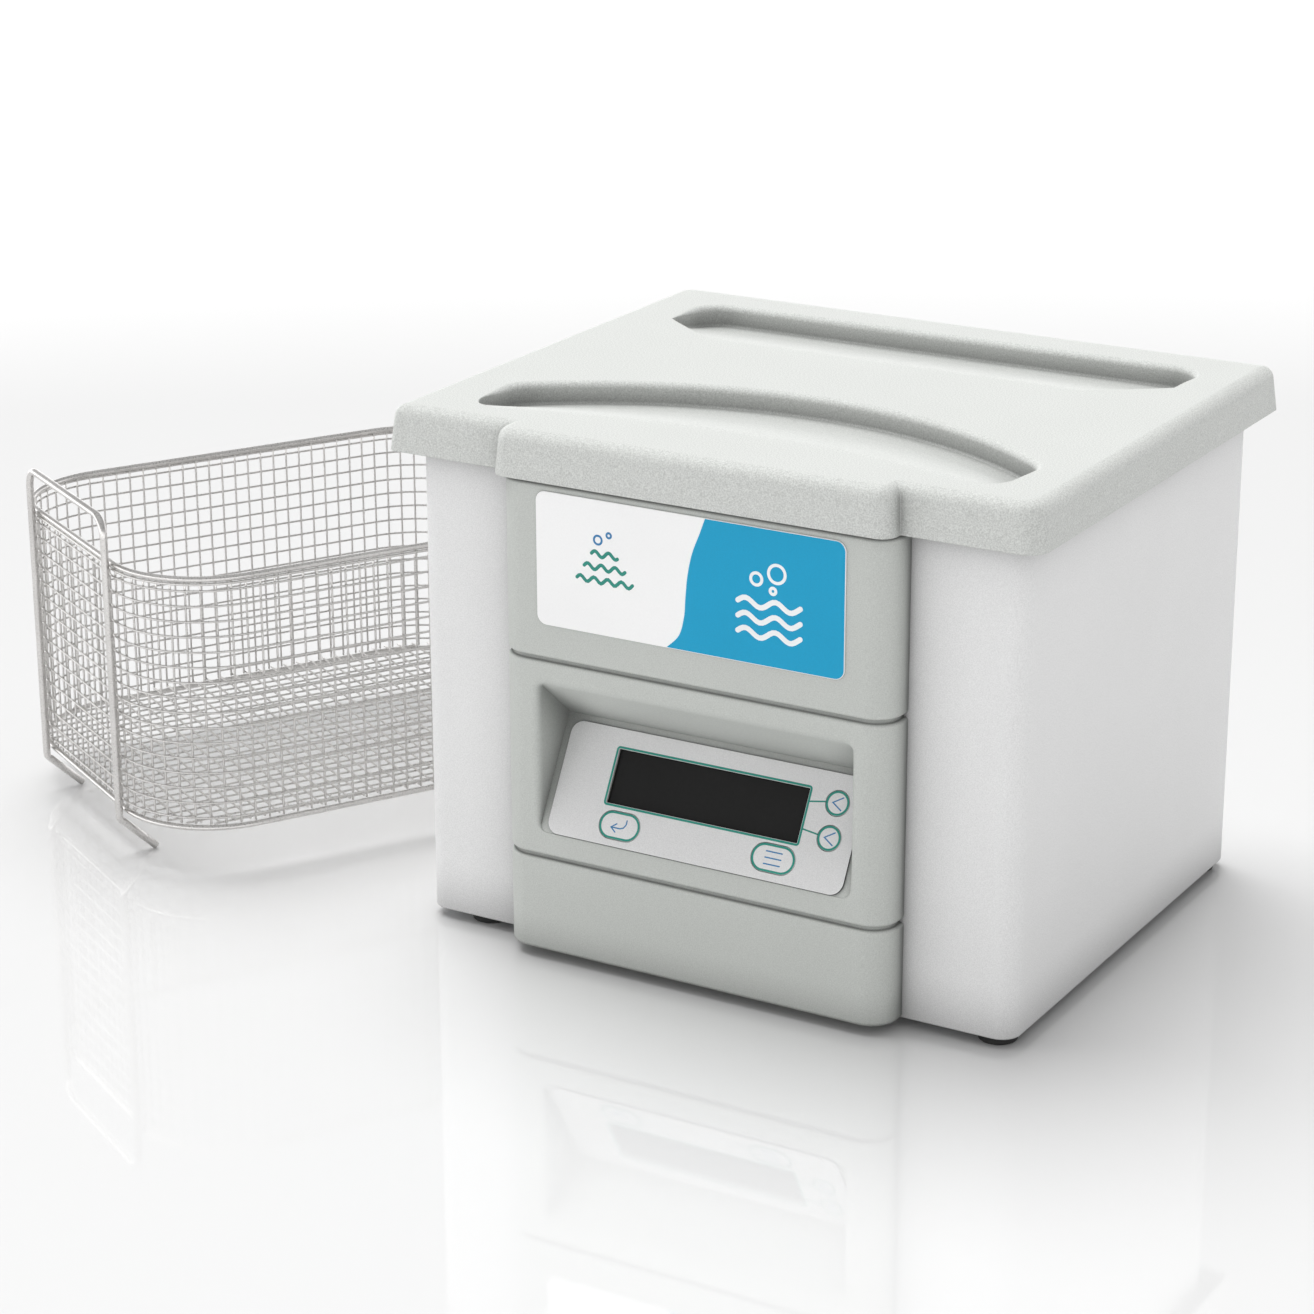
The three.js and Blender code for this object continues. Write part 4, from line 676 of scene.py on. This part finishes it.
# ============================================================ rear: inlet and switch
def rear_at(cx, cz):
    return lambda x, y, z: machine(cx - x, HY + z, cz + y)       # x to the left seen from behind, z out of the back
ia = rear_at(-108, 44)
nl = Mesh()
socket = [(-12.2, -8.4), (12.2, -8.4), (12.2, 3.6), (7.4, 8.4), (-7.4, 8.4), (-12.2, 3.6)]
def soften(poly, r, n=5):
    p3 = [(*p, 0) for p in poly]; m = len(p3); out = []
    for i in range(m):
        seg = fillet([p3[i - 1], p3[i], p3[(i + 1) % m]], [0, r, 0], n)[1:-1]; out += [(a, b) for a, b, _ in seg]
    return clean(out)
sk = soften(socket, 1.6)
nl.plate(rr(-25, 25, -11.5, 11.5, 5), 0.02, 2.9, [sk] + [circle(sx * 20, 0, 1.75, 24) for sx in (-1, 1)], b=0.7, b0=0.1, steps=4)
nl.plate(rr(-13.9, 13.9, -10.2, 10.2, 2), -24, 0.2, [sk], b=0.1)
nl.plate(rr(-13.5, 13.5, -9.8, 9.8, 2), -23.6, -17, b=0.1)
for sx in (-1, 1): nl.turned([(0, 0.4), (3.1, 0.4), (3.1, 2.2), (2.2, 2.8), (0, 2.9)] if False else [(0, 0.3), (1.7, 0.3), (1.7, 1.0), (0, 1.0)], sx * 20, 0, 24)
io = nl.make("inlet_housing", "black", "housing", "black_plastic", at=ia)
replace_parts(io, "power_inlet")
sc = Mesh()
for sx in (-1, 1):
    cross = [(a * 0.62, b * 0.62) for a, b in [(0.45, 2.2), (-0.45, 2.2), (-0.45, 0.45), (-2.2, 0.45), (-2.2, -0.45), (-0.45, -0.45), (-0.45, -2.2), (0.45, -2.2), (0.45, -0.45), (2.2, -0.45), (2.2, 0.45), (0.45, 0.45)]]
    sc.plate(circle(sx * 20, 0, 2.9, 32), 2.2, 3.6, [[(sx * 20 + a, b) for a, b in cross]], b=0.5, b0=0.05, steps=3)
    sc.plate(circle(sx * 20, 0, 2.7, 32), 1.0, 2.6, b=0.05)
sc.make("inlet_screws", "zinc", "housing", "zinc", at=ia)
for nm, x, z in (("inlet_pin_line", -7, -0.7), ("inlet_pin_neutral", 7, -0.7), ("inlet_pin_earth", 0, 3.3)):
    pn = Mesh(); pn.plate(rr(x - 1, x + 1, z - 2, z + 2, 0.3, 4), -29.9, -2.1, b=0.6, b0=0.1, steps=3)
    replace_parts(pn.make(nm + "_blade", "pin", "housing", "pin", at=ia), nm)
sa = rear_at(-62, 44)
fr = Mesh()
fr.plate(rr(-10.8, 10.8, -14.6, 14.6, 2), 0.02, 2.5, [rr(-7.6, 7.6, -11.7, 11.7, 0.8, 4)], b=0.8, b0=0.1, steps=4)
fr.plate(rr(-9.2, 9.2, -13, 13, 1), -22, 0.2, [rr(-7.6, 7.6, -11.7, 11.7, 0.8, 4)], b=0.1)
fr.plate(rr(-8.8, 8.8, -12.6, 12.6, 1), -21.8, -14, b=0.1)
for y in (-7, 0, 7): fr.plate(rr(-2.4, 2.4, y - 0.4, y + 0.4, 0.2, 2), -21.95, -21.0, b=0.05)
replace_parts(fr.make("switch_bezel", "black", "housing", "black_plastic", at=sa), "power_switch_frame")
rk = Mesh()
raw = [(5.2, -10.6), (4.3, -7), (3.5, -3), (3.2, 0), (3.5, 3), (4.3, 7), (5.2, 10.6), (1.5, 10.9), (-7, 6.5), (-7, -6.5), (1.5, -10.9)]
an = math.radians(-10); ry, rz = HY - 1, 44
prof = [(ry + a * math.cos(an) - b * math.sin(an), rz + a * math.sin(an) + b * math.cos(an)) for a, b in raw]
prof = clean(prof); prof = prof if area2(prof) > 0 else list(reversed(prof))
prof = soften(prof, 0.7, 3)
sects = []
for x, t in ((-7.2, 0.5), (-7.05, 0.15), (-6.7, 0.0), (6.7, 0.0), (7.05, 0.15), (7.2, 0.5)): sects.append([(-62 + x, a, b) for a, b in offset(prof, -t)])
rk.loft(sects)
for x, sct in ((-69.2, sects[0]), (-54.8, sects[-1])): rk.fill([(a, b) for _, a, b in sct], (), lambda a, b, x=x: (x, a, b))
ro_ = rk.make("rocker_key", "rocker", "power_rocker", "black_plastic", sharp=60)
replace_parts(ro_, "power_rocker")
def on_rocker(x, y, z):                                      # y along the rocker's face, z out of it
    a = 3.2 + (abs(y) / 10.6) ** 1.5 * 2.0 + z
    return machine(-62 - x, ry + a * math.cos(an) - y * math.sin(an), rz + a * math.sin(an) + y * math.cos(an))
mk = Mesh()
mk.plate(stroke([(0, 4.6), (0, 8.0)], 0.8), -0.25, 0.1, b=0.02, b0=0, steps=1)
mk.plate(circle(0, -6.4, 1.9, 28), -0.25, 0.1, [list(reversed(circle(0, -6.4, 1.2, 28)))], b=0.02, b0=0, steps=1)
mk.make("rocker_marks", "ink_white", "power_rocker", "black_plastic", at=on_rocker, merge=0.0005)

# ============================================================ basket
BK_L, BK_W, BK_R, BK_Z0, BK_Z1, BK_X0 = 275.0, 214.0, 53.0, 27.0, 157.0, 2.3
def path(t):
    # outline inset by t: its bounds and corner radius; walk below gives its points and normals by arc length
    x0, x1, y0, y1, r = BK_X0 + t, BK_X0 + BK_L - t, -BK_W / 2 + t, BK_W / 2 - t, BK_R - t
    segs = [("l", (x0, y0 + r), (x0, y1 - r))]
    return x0, x1, y0, y1, r
def walk(s, t):
    x0, x1, y0, y1, r = path(t)
    lx, ly, c = x1 - x0 - 2 * r, y1 - y0 - 2 * r, PI / 2 * r
    total = 2 * lx + 2 * ly + 4 * c
    s = (s % 1.0) * total
    for kind, a in (("E", ly), ("NE", c), ("N", lx), ("NW", c), ("W", ly), ("SW", c), ("S", lx), ("SE", c)):
        if s <= a:
            u = s / a
            if kind == "E": return (x1, y0 + r + ly * u), (1, 0)
            if kind == "N": return (x1 - r - lx * u, y1), (0, 1)
            if kind == "W": return (x0, y1 - r - ly * u), (-1, 0)
            if kind == "S": return (x0 + r + lx * u, y0), (0, -1)
            an0 = {"NE": 0, "NW": PI / 2, "SW": PI, "SE": 1.5 * PI}[kind] + u * PI / 2
            cx = x1 - r if kind in ("NE", "SE") else x0 + r; cy = y1 - r if kind in ("NE", "NW") else y0 + r
            return (cx + r * math.cos(an0), cy + r * math.sin(an0)), (math.cos(an0), math.sin(an0))
        s -= a
    return (x1, y0 + r), (1, 0)
WD, NV, NH = 1.15, 112, 16
mid = 0.1 + 1.1
zs = [BK_Z0 + 4 + (BK_Z1 - BK_Z0 - 8) * j / (NH - 1) for j in range(NH)]
bw = Mesh()
amp = WD * 0.46      # uprights lie inside the hoops and are welded where they cross
for i in range(NV):
    (px, py), (nx, ny) = walk(i / NV, mid + 0.1)
    pts = [(px, py, BK_Z0 - 0.4)]
    for j in range(NH):
        pts.append((px - nx * amp, py - ny * amp, zs[j]))
    pts[0] = (px - nx * amp, py - ny * amp, BK_Z0 + 0.2); pts.append((px - nx * amp, py - ny * amp, BK_Z1 + 0.6))
    bw.tube(pts, WD / 2, 6)
for j in range(NH):
    pts = []
    for i in range(NV):
        for h in (0, 0.5):
            (px, py), (nx, ny) = walk((i + h) / NV, mid + 0.1)
            pts.append((px + nx * amp, py + ny * amp, zs[j]))
    bw.tube(pts, WD / 2, 6, closed=True)
# floor: wires both ways, cut to the outline
x0, x1, y0, y1, r = path(mid + 0.8)
def half_span(v, lo, hi, olo, ohi):
    # extent of the outline along the other axis at v
    e = min(v - lo, hi - v)
    if e < 0: return None
    if e >= r: return olo, ohi
    k = r - math.sqrt(max(0, r * r - (r - e) ** 2)); return olo + k, ohi - k
pitch = 8.0; fz = BK_Z0 + 0.85
nx_ = int((x1 - x0) // pitch); ny_ = int((y1 - y0) // pitch)
gx = [(x0 + x1) / 2 + (i - (nx_ - 1) / 2) * pitch for i in range(nx_)]; gy = [(y0 + y1) / 2 + (j - (ny_ - 1) / 2) * pitch for j in range(ny_)]
fa_ = WD * 0.45
for i, x in enumerate(gx):
    sp = half_span(x, x0, x1, y0, y1)
    if not sp or sp[1] - sp[0] < 20: continue
    pts = [(x, sp[0], fz)]
    for j, y in enumerate(gy):
        if sp[0] + 1 < y < sp[1] - 1: pts.append((x, y, fz + fa_))
    pts[0] = (x, sp[0], fz + fa_); bw.tube(pts + [(x, sp[1], fz + fa_)], WD / 2, 6)
for j, y in enumerate(gy):
    sp = half_span(y, y0, y1, x0, x1)
    if not sp or sp[1] - sp[0] < 20: continue
    pts = [(sp[0], y, fz)]
    for i, x in enumerate(gx):
        if sp[0] + 1 < x < sp[1] - 1: pts.append((x, y, fz - fa_))
    pts[0] = (sp[0], y, fz - fa_); bw.tube(pts + [(sp[1], y, fz - fa_)], WD / 2, 6)
bwo = bw.make("basket_weave", "wire", "basket", "wire_steel", at=basket, sharp=80, merge=0.0001, weighted=False)
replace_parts(bwo, "basket_mesh")
def loop(t, z, n=240): return [(*walk(i / n, t)[0], z) for i in range(n)]
rw = Mesh(); rw.tube(loop(1.85, 158.9), 1.6, 14, closed=True)
# clips of the weave's top edge: a thin binding wire just under the rim
rw.tube(loop(0.95, 156.5), 0.75, 8, closed=True)
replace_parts(rw.make("rim_wire", "wire", "basket", "wire_steel", at=basket, sharp=80, weighted=False), "basket_rim_wire")
gw = Mesh(); gw.tube(loop(1.8, 25.2), 1.5, 12, closed=True)
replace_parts(gw.make("base_wire", "wire", "basket", "wire_steel", at=basket, sharp=80, weighted=False), "basket_base_wire")
for nm, flip in (("basket_handle_near", 0), ("basket_handle_far", 1)):
    X = lambda x: (2 * BK_X0 + BK_L - x) if flip else x
    pts = [(X(19.6), -53, 1.45), (X(0), -53, 20.7), (X(0), -53, 183.2), (X(0), 53, 183.2), (X(0), 53, 20.7), (X(19.6), 53, 1.45)]
    pp = fillet(pts, [0, 4.5, 10, 10, 4.5, 0], 10)
    hw = Mesh(); hw.tube(pp, 2.0, 16)
    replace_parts(hw.make(nm + "_wire", "wire", "basket", "wire_steel", at=basket, sharp=60, weighted=False), nm)

# ============================================================ what stays as it is gets its own finish
keep = {"display_module": "display", "control_board": "pcb", "tank_gasket": "gasket", "heater_pad_left": "heater", "heater_pad_right": "heater",
        "temperature_sensor": "black", "generator_board": "pcb", "heat_sink": "alu", "power_transistors": "black", "output_transformer": "core",
        "bulk_capacitor": "capac", "mains_filter_choke": "copper"}
for tag in ("front_left", "front_right", "rear_left", "rear_right"):
    keep.update({"transducer_%s_front_mass" % tag: "alu", "transducer_%s_piezo_stack" % tag: "ceramic", "transducer_%s_back_mass" % tag: "zinc", "transducer_%s_bolt" % tag: "black"})
for nm, mt in keep.items():
    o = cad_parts[nm]
    if o.material_slots:
        for sl in o.material_slots: sl.material = MAT[mt]
    else: o.data.materials.append(MAT[mt])

# ============================================================ stage, light, camera
def floor_material():
    m = bpy.data.materials.new("studio_floor"); m.use_nodes = True
    nt = m.node_tree; N = nt.nodes; L = nt.links; bs = N["Principled BSDF"]
    tc = N.new("ShaderNodeTexCoord"); n = N.new("ShaderNodeTexNoise"); n.inputs["Scale"].default_value = 1.2
    L.new(tc.outputs["Object"], n.inputs["Vector"])
    r = N.new("ShaderNodeMapRange"); L.new(n.outputs["Fac"], r.inputs["Value"]); r.inputs["To Min"].default_value = 0.02; r.inputs["To Max"].default_value = 0.04
    L.new(r.outputs["Result"], bs.inputs["Roughness"])
    bs.inputs["Base Color"].default_value = (0.765, 0.765, 0.765, 1)
    bs.inputs["IOR"].default_value = 2.0
    return m
fm = bpy.data.meshes.new("studio_floor")
R_ = 14.0
fm.from_pydata([(-R_, -R_, 0), (R_, -R_, 0), (R_, R_, 0), (-R_, R_, 0)], [], [(0, 1, 2, 3)])
flo = bpy.data.objects.new("studio_floor", fm); scene.collection.objects.link(flo); fm.materials.append(floor_material())

def area(name, loc, target, size, power, size_y=None, color=(1, 1, 1)):
    l = bpy.data.lights.new(name, "AREA"); l.shape = "RECTANGLE" if size_y else "SQUARE"; l.size = size
    if size_y: l.size_y = size_y
    l.energy = power; l.color = color
    o = bpy.data.objects.new(name, l); scene.collection.objects.link(o)
    o.location = loc; o.rotation_euler = (Vector(target) - Vector(loc)).to_track_quat("-Z", "Y").to_euler()
    return o
def sun(name, azimuth, elevation, strength, angle):
    # azimuth is where the light comes from, degrees anticlockwise from +X
    l = bpy.data.lights.new(name, "SUN"); l.energy = strength; l.angle = math.radians(angle)
    o = bpy.data.objects.new(name, l); scene.collection.objects.link(o)
    az, el = math.radians(azimuth), math.radians(elevation)
    o.rotation_euler = Vector((-math.cos(az) * math.cos(el), -math.sin(az) * math.cos(el), -math.sin(el))).to_track_quat("-Z", "Y").to_euler()
    return o
sun("key_sun", 150, 68, 2.58, 45).visible_glossy = False
w = bpy.data.worlds.new("studio"); scene.world = w; w.use_nodes = True
wn, wl = w.node_tree.nodes, w.node_tree.links
bg = wn["Background"]
tcw = wn.new("ShaderNodeTexCoord"); sep = wn.new("ShaderNodeSeparateXYZ"); wl.new(tcw.outputs["Generated"], sep.inputs[0])
sky = wn.new("ShaderNodeValToRGB"); wl.new(sep.outputs["Z"], sky.inputs[0])
els = sky.color_ramp.elements
els[0].position = 0.0; els[0].color = (1, 1, 1, 1)
els[1].position = 1.0; els[1].color = (0.3, 0.3, 0.3, 1)
for p, v in ((0.14, 0.97), (0.26, 0.25), (0.55, 0.2), (0.75, 0.25)):
    e = els.new(p); e.color = (v, v, v, 1)
lp = wn.new("ShaderNodeLightPath"); mxw = wn.new("ShaderNodeMix"); mxw.data_type = "RGBA"
# the room is a little brighter on the left and in front
def side(axis, lo, hi):
    r = wn.new("ShaderNodeMapRange"); wl.new(sep.outputs[axis], r.inputs["Value"])
    r.inputs["From Min"].default_value = -1; r.inputs["To Min"].default_value = lo; r.inputs["To Max"].default_value = hi
    return r.outputs["Result"]
ml = wn.new("ShaderNodeMath"); ml.operation = "MULTIPLY"; wl.new(side("X", 1.15, 0.85), ml.inputs[0]); wl.new(side("Y", 1.07, 0.93), ml.inputs[1])
tint = wn.new("ShaderNodeMix"); tint.data_type = "RGBA"; tint.blend_type = "MULTIPLY"; tint.inputs["Factor"].default_value = 1.0; tint.clamp_result = False
wl.new(sky.outputs[0], tint.inputs["A"]); wl.new(ml.outputs[0], tint.inputs["B"])
wl.new(lp.outputs["Is Camera Ray"], mxw.inputs["Factor"]); wl.new(tint.outputs["Result"], mxw.inputs["A"]); mxw.inputs["B"].default_value = (0.42, 0.42, 0.42, 1)
wl.new(mxw.outputs["Result"], bg.inputs[0])
bg.inputs[1].default_value = 2.2
scene.view_settings.view_transform = "Standard"
scene.view_settings.look = "None"

cam = bpy.data.cameras.new("camera"); co = bpy.data.objects.new("camera", cam); scene.collection.objects.link(co)
cam.sensor_width = 36; cam.sensor_fit = "HORIZONTAL"; cam.lens = 97.3354
cam.clip_start = 0.05; cam.clip_end = 60
co.matrix_world = Matrix(((0.8616557, -0.1652398, 0.4798388, 0.9149183), (0.5074837, 0.2863836, -0.8126775, -1.4813651), (-0.0031313, 0.9437586, 0.3306206, 0.7088521), (0.0000000, 0.0000000, 0.0000000, 1.0000000)))
scene.camera = co
